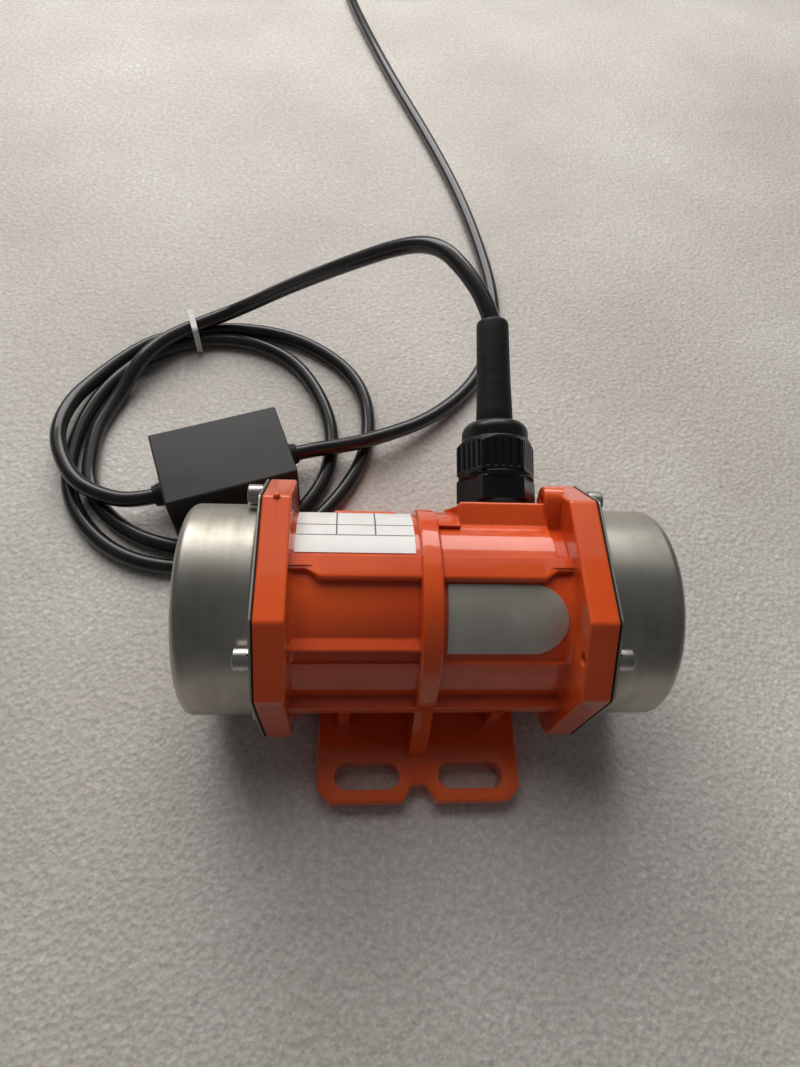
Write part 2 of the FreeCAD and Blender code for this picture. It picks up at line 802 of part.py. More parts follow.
def bearing_balls():
    """Seven balls and the pressed cage that spaces them."""
    centre_x = bearing_inner_x + bearing_width / 2
    cage = ring_x(ball_pitch_radius + cage_half_height, ball_pitch_radius - cage_half_height,
                  centre_x - cage_half_width, centre_x + cage_half_width)
    balls = []
    pockets = []
    for index in range(ball_count):
        turn = 360 * index / ball_count
        centre = V(centre_x, 0, axis_height + ball_pitch_radius)
        balls.append(turn_about_axis(Part.makeSphere(ball_radius, centre), turn))
        pockets.append(turn_about_axis(Part.makeSphere(ball_radius + 0.15, centre), turn))
    return Part.makeCompound([cage.cut(pockets)] + balls)


def shaft():
    """Stepped shaft with a clip groove near each end."""
    right = [
        (0, 0),
        (0, shaft_core_radius),
        (bearing_inner_x, shaft_core_radius),
        (bearing_inner_x, bearing_bore_radius),
        (clip_x, bearing_bore_radius),
        (clip_x, bearing_bore_radius - clip_groove_depth),
        (clip_x + clip_thickness, bearing_bore_radius - clip_groove_depth),
        (clip_x + clip_thickness, bearing_bore_radius),
        (shaft_half_length - shaft_end_chamfer, bearing_bore_radius),
        (shaft_half_length, bearing_bore_radius - shaft_end_chamfer),
        (shaft_half_length, 0),
    ]
    half = revolve_x(right)
    return half.fuse(mirror_x(half)).removeSplitter()


def rotor_core():
    radius = stator_inner_radius - air_gap
    return ring_x(radius, shaft_core_radius, -stator_half_length, stator_half_length)


def rotor_end_rings():
    ring = ring_x(end_ring_radius, shaft_core_radius + end_ring_bore_gap,
                  stator_half_length, stator_half_length + end_ring_length)
    return Part.makeCompound([ring, mirror_x(ring)])


def eccentric_weight(start_x, bore):
    """Half-disc weight below the shaft, with a split clamp hub above it."""
    end_x = start_x + weight_thickness
    disc = cylinder_x(weight_radius, start_x, end_x)
    half = disc.common(axis_block(V(start_x, -40, -40), V(end_x, 40, -weight_top_offset)))
    corners = [e for e in edges_along(half, V(1, 0, 0)) if abs(e.BoundBox.Center.y) > weight_radius / 2]
    half = half.makeFillet(weight_bottom_radius, corners)
    hub = cylinder_x(weight_hub_radius, start_x, end_x)
    ears = axis_block(V(start_x, -ear_half_width, -weight_top_offset), V(end_x, ear_half_width, ear_height))
    ears = ears.makeFillet(1.5, [e for e in edges_along(ears, V(1, 0, 0)) if e.BoundBox.ZMin > axis_height + 5])
    slit = axis_block(V(start_x - 1, -ear_slit / 2, 0), V(end_x + 1, ear_slit / 2, ear_height + 1))
    middle_x = start_x + weight_thickness / 2
    hole_start = V(middle_x, -ear_half_width - 5, axis_height + clamp_screw_height)
    hole = Part.makeCylinder(clamp_screw_size / 2 + fit_gap, 2 * ear_half_width + 10, hole_start, V(0, 1, 0))
    bore_cut = cylinder_x(bore, start_x - 1, end_x + 1)
    return half.fuse([hub, ears]).cut([slit, hole, bore_cut])


def clamp_screw(start_x):
    screw = socket_screw(clamp_screw_size, 2 * ear_half_width - 1)
    middle_x = start_x + weight_thickness / 2
    place = V(middle_x, ear_half_width, axis_height + clamp_screw_height)
    screw.Placement = FreeCAD.Placement(place, FreeCAD.Rotation(V(1, 0, 0), -90))
    return screw


def retaining_parts():
    """Thrust washer and open retaining clip outside the right-hand weights."""
    washer = ring_x(thrust_washer_radius, bearing_bore_radius + fit_gap, thrust_washer_x, clip_x)
    clip_inner = bearing_bore_radius - clip_groove_depth + fit_gap / 2
    clip = ring_x(clip_radius, clip_inner, clip_x, clip_x + clip_thickness)
    mouth = axis_block(V(clip_x - 1, -clip_mouth / 2, 0), V(clip_x + 3, clip_mouth / 2, clip_radius + 1))
    return washer, clip.cut(mouth)


def gland_washer():
    ring = Part.makeCylinder(gland_washer_radius, gland_washer_thickness)
    return gland_place(ring.cut(Part.makeCylinder(gland_thread_radius, gland_washer_thickness)))


def gland_body():
    """Threaded stub, hexagon, collar and the neck that the dome nut closes on."""
    base = gland_washer_thickness
    hexagon = hexagon_z(gland_hex_flat, base, base + gland_hex_length)
    stub_length = gland_thread_length + base
    stub = Part.makeCylinder(gland_thread_radius - fit_gap, stub_length, V(0, 0, base - stub_length))
    collar_base = base + gland_hex_length
    collar = Part.makeCylinder(gland_collar_radius, gland_collar_length, V(0, 0, collar_base))
    neck = Part.makeCylinder(gland_neck_radius, gland_neck_length, V(0, 0, collar_base + gland_collar_length))
    bore = Part.makeCylinder(gland_bore_radius, 100, V(0, 0, -50))
    return gland_place(hexagon.fuse([stub, collar, neck]).cut(bore))


def gland_seal():
    """Rubber seal between the cable and the neck."""
    top = gland_washer_thickness + gland_hex_length + gland_collar_length + gland_neck_length
    length = gland_neck_length
    ring = Part.makeCylinder(gland_bore_radius - fit_gap, length, V(0, 0, top - length))
    hole = Part.makeCylinder(cable_radius, length, V(0, 0, top - length))
    return gland_place(ring.cut(hole))


def gland_nut():
    """Ribbed hexagonal dome nut, hollow inside, with chamfered corners and a rounded dome."""
    dome_base = nut_start + nut_hex_length
    bar = hexagon_z(gland_hex_flat, nut_start, dome_base)
    corner = gland_hex_flat / math.sqrt(3) + 0.1
    envelope = revolve_z([
        (0, nut_start),
        (corner - 0.3, nut_start),
        (corner - 0.3, dome_base - nut_chamfer),
        (nut_dome_radius + 0.2, dome_base),
        (0, dome_base),
    ])
    bar = bar.common(envelope)
    grooves = []
    for index in range(nut_rib_count):
        turn = 360 * (index + 0.5) / nut_rib_count
        groove = nut_groove(turn, corner)
        grooves.append(groove)
    bar = bar.cut(grooves)
    dome = Part.makeCylinder(nut_dome_radius, nut_dome_length, V(0, 0, dome_base))
    rim = [e for e in dome.Edges if e.BoundBox.ZMin > nut_end - 0.01 and e.BoundBox.ZLength < 0.01]
    dome = dome.makeFillet(nut_dome_radius - nut_mouth_radius - 0.6, rim)
    hollow = Part.makeCylinder(gland_neck_radius + 0.2, nut_hex_length, V(0, 0, nut_start))
    mouth = Part.makeCylinder(sleeve_radius, nut_dome_length + 5, V(0, 0, dome_base - 1))
    return gland_place(bar.fuse(dome).cut([hollow, mouth]))


def nut_groove(turn, corner):
    """Shallow grip groove that runs along the nut where its flats face."""
    flat_turn = (turn + 30) % 60 - 30
    across = gland_hex_flat / 2 / math.cos(math.radians(min(abs((turn % 60) - 30), 30)))
    reach = min(across, corner)
    groove = Part.makeBox(2, 0.8, nut_hex_length - 3, V(reach - nut_rib_depth, -0.4, nut_start + 1.2))
    groove.rotate(V(0, 0, 0), V(0, 0, 1), turn)
    return groove


def cable_sleeve():
    sleeve = Part.makeCylinder(sleeve_radius, sleeve_length, V(0, 0, sleeve_start))
    rim = [e for e in sleeve.Edges if e.BoundBox.ZMin > sleeve_mouth - 0.01 and e.BoundBox.ZLength < 0.01]
    sleeve = sleeve.makeFillet(sleeve_end_radius, rim)
    hole = Part.makeCylinder(cable_radius, sleeve_length, V(0, 0, sleeve_start))
    return gland_place(sleeve.cut(hole))


def cable_entry():
    """The stretch of the motor lead inside the gland and its sleeve."""
    inner_end = -gland_thread_length
    length = sleeve_mouth - inner_end
    return gland_place(Part.makeCylinder(cable_radius, length, V(0, 0, inner_end)))


def bent_plate(radius, thickness, start_x, end_x, low_angle, high_angle):
    """A plate wrapped on the barrel between two angles, counted from +Y."""
    span = high_angle - low_angle
    outer = Part.makeCylinder(radius + thickness, end_x - start_x, V(0, 0, 0), V(0, 0, 1), span)
    inner = Part.makeCylinder(radius, end_x - start_x, V(0, 0, 0), V(0, 0, 1), 360)
    plate = outer.cut(inner)
    plate.rotate(V(0, 0, 0), V(0, 0, 1), low_angle)
    plate.rotate(V(0, 0, 0), V(1, 1, 1), 120)
    plate.translate(V(start_x, 0, axis_height))
    return plate


def nameplate():
    """Metal plate on the front of the barrel, with its outer end rounded."""
    plate = bent_plate(barrel_radius + fit_gap, nameplate_thickness, nameplate_start_x, nameplate_end_x,
                       nameplate_top_angle, nameplate_bottom_angle)
    radius = barrel_radius * math.radians(nameplate_bottom_angle - nameplate_top_angle) / 2
    middle_angle = (nameplate_top_angle + nameplate_bottom_angle) / 2
    straight_end = nameplate_end_x - radius
    keep = block(V(0, -radius - 1, 0), V(straight_end, radius + 1, 60))
    keep = keep.fuse(Part.makeCylinder(radius, 60, V(straight_end, 0, 0)))
    keep.translate(V(0, 0, axis_height))
    keep = turn_about_axis(keep, middle_angle - 90)
    return plate.common(keep)


def rating_label():
    return bent_plate(saddle_radius + fit_gap, label_thickness, label_start_x, label_end_x,
                      label_rear_angle, label_front_angle)


def box_place(shape):
    placed = shape.copy()
    placed.Placement = FreeCAD.Placement(box_centre, FreeCAD.Rotation(V(0, 0, 1), box_turn))
    return placed


def box_point(x, y, z):
    return FreeCAD.Placement(box_centre, FreeCAD.Rotation(V(0, 0, 1), box_turn)).multVec(V(x, y, z))


def capacitor_box():
    half = V(box_length / 2, box_width / 2, 0)
    outside = block(-half, half + V(0, 0, box_height))
    edges = edges_along(outside, V(0, 0, 1)) + [e for e in outside.Edges if e.BoundBox.ZMin > box_height - 0.01]
    outside = outside.makeFillet(box_edge, edges)
    wall = V(box_wall, box_wall, 0)
    inside = block(wall - half - V(0, 0, 1), half - wall + V(0, 0, box_height - box_wall))
    ports = []
    for sign, offset in ((-1, entry_offset), (1, exit_offset)):
        start = V(sign * (box_length / 2 - box_wall - 1), offset, grommet_height)
        ports.append(Part.makeCylinder(grommet_radius - 1.2, box_wall + 3, start, V(sign, 0, 0)))
    return box_place(outside.cut([inside] + ports))


def box_base():
    half = V(box_length / 2 - box_wall, box_width / 2 - box_wall, 0)
    return box_place(block(-half, half + V(0, 0, box_base_thickness)))


def run_capacitor():
    """Film capacitor that stands on the box's base."""
    half = V(capacitor_length / 2, capacitor_width / 2, 0)
    base = V(0, 0, box_base_thickness)
    body = block(base - half, base + half + V(0, 0, capacitor_height))
    return box_place(body.makeFillet(1.5, edges_along(body, V(0, 0, 1))))


def box_grommets():
    """Moulded cable bushes on the two ends of the box."""
    grommets = []
    for sign, offset in ((-1, entry_offset), (1, exit_offset)):
        outside = revolve_z([
            (cable_radius, -box_wall),
            (grommet_radius - 1.25, -box_wall),
            (grommet_radius - 1.25, 0),
            (grommet_radius, 0),
            (grommet_radius - 1.0, grommet_length),
            (cable_radius, grommet_length),
        ])
        turn = FreeCAD.Rotation(V(0, 1, 0), sign * 90)
        outside.Placement = FreeCAD.Placement(V(sign * box_length / 2, offset, grommet_height), turn)
        grommets.append(box_place_shape(outside))
    return Part.makeCompound(grommets)


def box_place_shape(shape):
    """Add the box's place to a shape that already has one."""
    placed = shape.copy()
    turn = FreeCAD.Placement(box_centre, FreeCAD.Rotation(V(0, 0, 1), box_turn))
    placed.Placement = turn.multiply(shape.Placement)
    return placed


def grommet_mouth(sign, offset, beyond=0.0):
    return box_point(sign * (box_length / 2 + beyond), offset, grommet_height)


def bent_tube(points, name):
    """Cable tube along straight runs joined by tangent arcs as large as the runs allow."""
    edges = []
    last = points[0]
    radii = []
    for before, corner, after in zip(points, points[1:], points[2:]):
        inward = (before - corner).normalize()
        outward = (after - corner).normalize()
        turn = math.pi - inward.getAngle(outward)
        trim = 0.45 * min(corner.distanceToPoint(before), corner.distanceToPoint(after))
        radius = trim / math.tan(turn / 2)
        radii.append(radius)
        arc_start = corner + inward * trim
        arc_end = corner + outward * trim
        bisector = (inward + outward).normalize()
        centre = corner + bisector * math.hypot(radius, trim)
        arc_middle = centre - bisector * radius
        edges.append(Part.LineSegment(last, arc_start).toShape())
        edges.append(Part.Arc(arc_start, arc_middle, arc_end).toShape())
        last = arc_end
    edges.append(Part.LineSegment(last, points[-1]).toShape())
    path = Part.Wire(edges)
    direction = points[1] - points[0]
    profile = Part.Wire(Part.makeCircle(cable_radius, points[0], direction))
    tube = path.makePipeShell([profile], True, True)
    expected = math.pi * cable_radius ** 2 * path.Length
    print(name, "length", round(path.Length, 1), "smallest radius", round(min(radii), 1),
          "volume ratio", round(tube.Volume / expected, 4))
    return tube


def ellipse_disc(centre, half_x, half_y, height):
    if half_x > half_y:
        curve = Part.Ellipse(centre, half_x, half_y)
    else:
        curve = Part.Ellipse(centre + V(0, half_y, 0), centre + V(half_x, 0, 0), centre)
    face = Part.Face(Part.Wire(curve.toShape()))
    return face.extrude(V(0, 0, height))


def cable_tie():
    """Band round the bundle of strands, with its square head low on the outer side."""
    inner_half = tie_inner_width / 2
    outer_half = inner_half + tie_thickness
    inner_height = 2 * cable_diameter + 0.4
    outer = block(V(-outer_half, -tie_width / 2, 0), V(outer_half, tie_width / 2, inner_height + 2 * tie_thickness))
    outer = outer.makeFillet(tie_thickness + 1.5, edges_along(outer, V(0, 1, 0)))
    inner = block(V(-inner_half, -tie_width, tie_thickness), V(inner_half, tie_width, inner_height + tie_thickness))
    inner = inner.makeFillet(1.5, edges_along(inner, V(0, 1, 0)))
    head = block(V(inner_half + 0.2, -tie_head / 2, tie_head_height),
                 V(inner_half + 0.2 + tie_head_depth, tie_head / 2, tie_head_height + tie_head))
    head = head.makeFillet(0.4, [e for e in head.Edges if e.BoundBox.XMin > inner_half + 1])
    band = outer.cut(inner).fuse(head)
    band.rotate(V(0, 0, 0), V(0, 0, 1), tie_angle)
    band.translate(tie_centre())
    return band


def tie_centre():
    turn = math.radians(tie_angle)
    outer = loop_outer_centre + V(loop_outer_half_x * math.cos(turn), loop_outer_half_y * math.sin(turn), 0)
    inner = loop_inner_centre + V(loop_inner_half_x * math.cos(turn), loop_inner_half_y * math.sin(turn), 0)
    return (outer + inner) * 0.5


def motor_cable_loops():
    """Outer shape of the two loose loops, two strands high where the strands cross."""
    height = cable_diameter + 0.1
    outer = ellipse_disc(loop_outer_centre, loop_outer_half_x, loop_outer_half_y, 2 * height)
    inner = ellipse_disc(loop_inner_centre, loop_inner_half_x, loop_inner_half_y, 2 * height)
    ring = outer.cut(inner)
    wedge_points = [loop_inner_centre]
    for step in range(5):
        turn = math.radians(double_layer_start + (double_layer_end - double_layer_start) * step / 4)
        wedge_points.append(loop_inner_centre + V(math.cos(turn), math.sin(turn), 0) * 140)
    outline = [(point.x, point.y) for point in wedge_points]
    high_part = prism_z(outline, 0, 2 * height)
    low_part = block(V(-200, -50, 0), V(50, 250, height))
    ring = ring.common(high_part.fuse(low_part))
    foot_room = block(
        V(-foot_half_length - loop_clearance, -200, -1),
        V(foot_half_length, foot_half_width + loop_clearance, 50),
    )
    half = V(box_length / 2 + 0.4, box_width / 2 + 0.4, 0)
    box_room = box_place(block(-half - V(0, 0, 1), half + V(0, 0, 50)))
    return ring.cut([foot_room, box_room, cable_tie()])


def mains_coil():
    """Put-away coil of the mains lead: turns beside and on each other."""
    height = store_coil_layers * cable_diameter
    outer = Part.makeCylinder(store_coil_radius + cable_diameter, height, store_coil_centre)
    inner = Part.makeCylinder(store_coil_radius - cable_diameter, height, store_coil_centre)
    ring = outer.cut(inner)
    rims = [e for e in ring.Edges if e.BoundBox.ZLength < 0.01 and e.BoundBox.ZMin > height - 0.01]
    return ring.makeFillet(cable_radius * 0.8, rims)


def plug_place(shape):
    placed = shape.copy()
    placed.Placement = FreeCAD.Placement(plug_centre, FreeCAD.Rotation(V(0, 0, 1), plug_turn))
    return placed


def plug_point(x, z=0.0):
    place = FreeCAD.Placement(plug_centre, FreeCAD.Rotation(V(0, 0, 1), plug_turn))
    return place.multVec(V(x, 0, plug_height / 2 + z))


def plug_body():
    """Moulded plug that lies on its flat side, with a tapered nose where the lead enters."""
    front = [V(0, -plug_width / 2, 0), V(0, plug_width / 2, 0),
             V(0, plug_width / 2, plug_height), V(0, -plug_width / 2, plug_height)]
    shape = Part.Face(Part.makePolygon(front + front[:1])).extrude(V(-plug_length, 0, 0))
    back = [e for e in shape.Edges if e.BoundBox.XMax < 0]
    rims = [e for e in back if e.BoundBox.XLength < 0.01]
    shape = shape.makeFillet(plug_edge, edges_along(shape, V(1, 0, 0)) + rims)
    nose = Part.makeCone(plug_height * 0.42, cable_radius + 1.2, plug_nose_length,
                         V(-plug_length + 1, 0, plug_height / 2), V(-1, 0, 0))
    bore = Part.makeCylinder(cable_radius, plug_nose_length, V(-plug_length - plug_nose_length + 1, 0,
                                                               plug_height / 2), V(1, 0, 0))
    return plug_place(shape.fuse(nose).cut(bore.common(nose).cut(shape)))


def plug_pins():
    """Two slanted flat pins and a straight earth pin."""
    pins = []
    for sign in (-1, 1):
        pin = block(V(0, -pin_thickness / 2, -pin_width / 2), V(pin_length, pin_thickness / 2, pin_width / 2))
        pin = pin.makeChamfer(0.5, [e for e in pin.Edges if e.BoundBox.XMin > pin_length - 0.01])
        pin.rotate(V(0, 0, 0), V(1, 0, 0), -sign * pin_tilt)
        pin.translate(V(0, sign * pin_spread, plug_height / 2 + 3.0))
        pins.append(pin)
    length = pin_length + earth_pin_extra
    earth = block(V(0, -pin_thickness / 2, -pin_width / 2), V(length, pin_thickness / 2, pin_width / 2))
    earth = earth.makeChamfer(0.5, [e for e in earth.Edges if e.BoundBox.XMin > length - 0.01])
    earth.translate(V(0, 0, plug_height / 2 - earth_pin_drop))
    pins.append(earth)
    return plug_place(Part.makeCompound(pins))


def motor_cable_route():
    """From the sleeve's mouth over a high bend and down to the tied bundle."""
    return [
        gland_point(sleeve_mouth),
        gland_point(sleeve_mouth + 11.5),
        V(20.2, 117.8, 85.6),
        V(10.5, 130.5, 85.5),
        V(-4, 140.5, 77.5),
        V(-27, 148, 60.5),
        V(-54, 160.5, 36),
        V(-76, 168.5, 16),
        V(-87, 166.5, 10.4),
        V(-97.5, 161.5, 9.9),
    ]


def box_entry_route():
    """From the crossing on the left of the loops into the capacitor box."""
    return [
        grommet_mouth(-1, entry_offset),
        grommet_mouth(-1, entry_offset, 12.5),
        V(-126, 61.5, 10.3),
        V(-139, 68.5, 10.3),
        V(-146.7, 81, 10.3),
    ]


def mains_route():
    """From the capacitor box over the loops, under the gland and away to the back."""
    over = cable_radius + cable_diameter + 0.5
    floor = cable_radius
    coil_side = store_coil_centre + V(-store_coil_radius, -6, floor)
    return [
        grommet_mouth(1, exit_offset),
        grommet_mouth(1, exit_offset, 11.0),
        V(-27, 90.5, over),
        V(-12, 95.5, over),
        V(12, 110.5, floor + 2),
        V(33, 132, floor),
        V(47, 160, floor),
        V(51, 195, floor),
        V(46, 240, floor),
        V(36, 290, floor),
        V(20, 345, floor),
        V(2, 400, floor),
        V(-14, 455, floor),
        V(-26, 505, floor),
        V(-30, 540, floor),
        coil_side,
    ]


def plug_lead_route():
    """From the put-away coil to the plug beside it."""
    back = store_coil_centre + V(0, store_coil_radius, cable_radius)
    return [
        back + V(4, 0, 0),
        back + V(20, 0.6, 0),
        back + V(38, -0.8, 4),
        plug_point(-plug_length - plug_nose_length + 1),
    ]


os.makedirs("parts", exist_ok=True)

save("housing", housing())
shield = end_shield()
save("end_shield_right", shield)
save("end_shield_left", mirror_x(shield))
save("shield_screws", shield_screws())
seal_sheet = gasket()
save("gasket_right", seal_sheet)
save("gasket_left", mirror_x(seal_sheet))
steel_cap = cap()
save("cap_right", steel_cap)
save("cap_left", mirror_x(steel_cap))
save("cap_screws", cap_screws())
save("cap_washers", cap_washers())
save("stator_core", stator_core())
save("stator_winding", stator_winding())
outer_ring = bearing_outer()
save("bearing_outer_right", outer_ring)
save("bearing_outer_left", mirror_x(outer_ring))
inner_ring = bearing_inner()
save("bearing_inner_right", inner_ring)
save("bearing_inner_left", mirror_x(inner_ring))
balls = bearing_balls()
save("bearing_balls_right", balls)
save("bearing_balls_left", mirror_x(balls))
save("shaft", shaft())
save("rotor_core", rotor_core())
save("rotor_end_rings", rotor_end_rings())
spacer = ring_x(spacer_radius, bearing_bore_radius + fit_gap, flange_outer_x, fixed_weight_x)
save("weight_spacers", Part.makeCompound([spacer, mirror_x(spacer)]))
fixed_weight = eccentric_weight(fixed_weight_x, bearing_bore_radius + fit_gap / 2)
save("fixed_weight_right", fixed_weight)
save("fixed_weight_left", mirror_x(fixed_weight))
adjustable_weight = eccentric_weight(adjustable_weight_x, bearing_bore_radius + running_gap)
save("adjustable_weight_right", adjustable_weight)
save("adjustable_weight_left", mirror_x(adjustable_weight))
fixed_screw = clamp_screw(fixed_weight_x)
save("fixed_weight_screws", Part.makeCompound([fixed_screw, mirror_x(fixed_screw)]))
adjustable_screw = clamp_screw(adjustable_weight_x)
save("adjustable_weight_screw_right", adjustable_screw)
save("adjustable_weight_screw_left", mirror_x(adjustable_screw))
thrust_washer, retaining_clip = retaining_parts()
save("thrust_washers", Part.makeCompound([thrust_washer, mirror_x(thrust_washer)]))
save("retaining_clips", Part.makeCompound([retaining_clip, mirror_x(retaining_clip)]))
save("gland_washer", gland_washer())
save("gland_body", gland_body())
save("gland_seal", gland_seal())
save("gland_nut", gland_nut())
save("cable_sleeve", cable_sleeve())
save("cable_entry", cable_entry())
save("nameplate", nameplate())
save("rating_label", rating_label())
save("capacitor_box", capacitor_box())
save("box_base", box_base())
save("run_capacitor", run_capacitor())
save("box_grommets", box_grommets())
save("cable_tie", cable_tie())
save("motor_cable_loops", motor_cable_loops())
save("motor_cable_lead", bent_tube(motor_cable_route(), "motor lead"))
save("box_entry_lead", bent_tube(box_entry_route(), "box entry lead"))
save("mains_cable_coil", mains_coil())
save("mains_cable_lead", bent_tube(mains_route(), "mains lead"))
save("plug_lead", bent_tube(plug_lead_route(), "plug lead"))
save("plug_body", plug_body())
save("plug_pins", plug_pins())
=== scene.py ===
import bmesh
import bpy
from math import atan2, cos, pi, radians, sin
from mathutils import Matrix, Vector


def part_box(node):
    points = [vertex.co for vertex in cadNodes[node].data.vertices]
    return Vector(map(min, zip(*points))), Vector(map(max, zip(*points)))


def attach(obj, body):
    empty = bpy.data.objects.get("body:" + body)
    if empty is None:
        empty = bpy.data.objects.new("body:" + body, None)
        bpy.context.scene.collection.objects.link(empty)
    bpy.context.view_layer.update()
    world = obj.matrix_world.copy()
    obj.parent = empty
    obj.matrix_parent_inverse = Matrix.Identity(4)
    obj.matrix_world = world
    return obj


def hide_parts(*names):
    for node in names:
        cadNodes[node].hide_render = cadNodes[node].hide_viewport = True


# Lengths are in metres and angles in degrees, unless a note says otherwise.
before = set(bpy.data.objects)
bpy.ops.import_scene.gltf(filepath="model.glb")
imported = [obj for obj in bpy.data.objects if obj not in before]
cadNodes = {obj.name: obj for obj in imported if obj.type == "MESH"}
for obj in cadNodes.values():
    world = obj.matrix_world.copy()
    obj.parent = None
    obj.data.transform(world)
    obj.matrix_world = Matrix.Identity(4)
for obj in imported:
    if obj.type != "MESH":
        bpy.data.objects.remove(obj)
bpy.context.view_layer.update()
millimetre = 0.001
motorAxisHeight = (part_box("shaft")[0].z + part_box("shaft")[1].z) / 2
print("frame loaded with", len(cadNodes), "nodes")

# Camera, at the photograph's place
cameraCard = {
    "place": (-0.02774, -0.09323, 0.25707),
    "turn": (29.492, -4.583, -1.537),  # about x, y and z
    "lens": 23.196,  # millimetres
    "sensor": 36,  # millimetres
    "nearest": 0.01,
}


def addObject(name, data):
    thing = bpy.data.objects.new(name, data)
    bpy.context.scene.collection.objects.link(thing)
    return thing


def makeCamera(card):
    lens = bpy.data.cameras.new("photoCamera")
    lens.lens = card["lens"]
    lens.sensor_width = card["sensor"]
    lens.clip_start = card["nearest"]
    camera = addObject("photoCamera", lens)
    camera.location = card["place"]
    camera.rotation_euler = [radians(turn) for turn in card["turn"]]
    bpy.context.scene.camera = camera


makeCamera(cameraCard)

# Cords. Routes are in metres; a turn is (degrees, millimetres from the middle, millimetres up).
motorCordCard = {
    "diameter": 0.0066,
    "length": 1.1,
    "rise": [
        (0.0252, 0.09518, 0.08027),
        (0.0226, 0.10400, 0.08340),
        (0.0160, 0.11650, 0.08550),
        (0.0075, 0.12950, 0.08550),
        (-0.0045, 0.13950, 0.07780),
        (-0.0270, 0.14800, 0.06050),
        (-0.0540, 0.16050, 0.03600),
        (-0.0760, 0.16850, 0.01600),
        (-0.0880, 0.16700, 0.01060),
    ],
    "middle": (-0.084, 0.0975),
    "turns": [
        (107, 63.9, 9.95), (120, 60.0, 9.95), (135, 55.0, 9.6), (150, 52.0, 4.6),
        (165, 52.0, 3.3), (180, 53.3, 3.3), (210, 58.0, 3.3), (240, 57.6, 3.3),
        (270, 56.0, 3.3), (300, 54.5, 3.3), (330, 52.0, 3.3), (360, 50.2, 3.3),
        (390, 50.6, 3.3), (420, 57.0, 3.3), (450, 60.5, 3.3), (480, 61.0, 3.3),
        (510, 59.4, 3.3), (540, 60.8, 3.3), (570, 66.6, 3.3), (600, 68.3, 3.3),
        (630, 64.5, 3.3), (660, 61.3, 3.3), (690, 61.0, 3.3), (720, 66.5, 3.3),
        (750, 72.0, 3.3), (780, 70.0, 3.3), (810, 67.3, 3.3), (840, 67.8, 3.3),
        (855, 66.9, 3.3), (870, 66.4, 4.2), (885, 67.0, 7.6), (900, 67.2, 10.3),
    ],
    "box entry": [
        (-0.1485, 0.0840, 0.0103),
        (-0.1390, 0.0685, 0.0103),
        (-0.1260, 0.0615, 0.0103),
        (-0.1133, 0.0594, 0.0102),
        (-0.1015, 0.06345, 0.0102),
    ],
}
mainsCordCard = {
    "diameter": 0.0066,
    "length": 1.5,
    "run": [
        (-0.05256, 0.08421, 0.0102),
        (-0.04216, 0.08779, 0.0102),
        (-0.0270, 0.0905, 0.0104),
        (-0.0120, 0.0955, 0.0104),
        (0.0120, 0.1105, 0.0053),
        (0.0330, 0.1320, 0.0033),
        (0.0470, 0.1600, 0.0033),
        (0.0510, 0.1950, 0.0033),
        (0.0460, 0.2400, 0.0033),
        (0.0360, 0.2900, 0.0033),
        (0.0200, 0.3450, 0.0033),
        (0.0020, 0.4000, 0.0033),
        (-0.0140, 0.4550, 0.0033),
        (-0.0270, 0.5050, 0.0033),
        (-0.0335, 0.5400, 0.0033),
    ],
    "middle": (0.006, 0.575),
    "coil": {  # lengths in millimetres
        "outer": 40.2,
        "pitch": 6.75,
        "step": 24,  # from point to point
        "enter": 180,  # where the cord comes in
        "leave": 95,  # where it goes off to the plug
        "turns": 4,  # full turns that it makes before it leaves
        "inwardSteps": 30,
        "floor": 3.3,
        "climb": (5.0, 8.4),
        "second": 9.98,
    },
    "to plug": [
        (0.0190, 0.6166, 0.0099),
        (0.0330, 0.6135, 0.0086),
        (0.0460, 0.6102, 0.0096),
        (0.0600, 0.6095, 0.0110),
    ],
}


cordShape = {"roundness": 7, "smoothness": 10}  # steps round a quarter and along each span


def turnPoint(middle, degrees, radius, height):
    angle = radians(degrees)
    return (
        middle[0] + radius * millimetre * cos(angle),
        middle[1] + radius * millimetre * sin(angle),
        height * millimetre,
    )


def swellFor(stepDegrees):
    # At each of its points the spline lies at three quarters of that point and an eighth of each neighbour,
    # so a point on a turn stands out by what its neighbours pull in.
    ownShare = 0.75
    return 1 / (ownShare + (1 - ownShare) * cos(radians(stepDegrees)))


def looseTurns(middle, turns):
    points = []
    for place, (degrees, radius, height) in enumerate(turns):
        before = turns[max(place - 1, 0)][0]
        after = turns[min(place + 1, len(turns) - 1)][0]
        points.append(turnPoint(middle, degrees, radius * swellFor((after - before) / 2), height))
    return points


def storedCoil(middle, coil):
    # Two turns inwards on the floor, a short climb, then out again on top of them.
    points = []
    swell = swellFor(coil["step"])
    degrees = coil["enter"]
    radius = coil["outer"]
    inward = coil["pitch"] * coil["step"] / 360
    for step in range(coil["inwardSteps"]):
        points.append(turnPoint(middle, degrees, radius * swell, coil["floor"]))
        degrees -= coil["step"]
        radius -= inward
    for height in coil["climb"]:
        points.append(turnPoint(middle, degrees, radius * swell, height))
        degrees -= coil["step"]
    while degrees > coil["leave"] - coil["turns"] * 360:
        points.append(turnPoint(middle, degrees, radius * swell, coil["second"]))
        degrees -= coil["step"]
        radius += inward
    return points


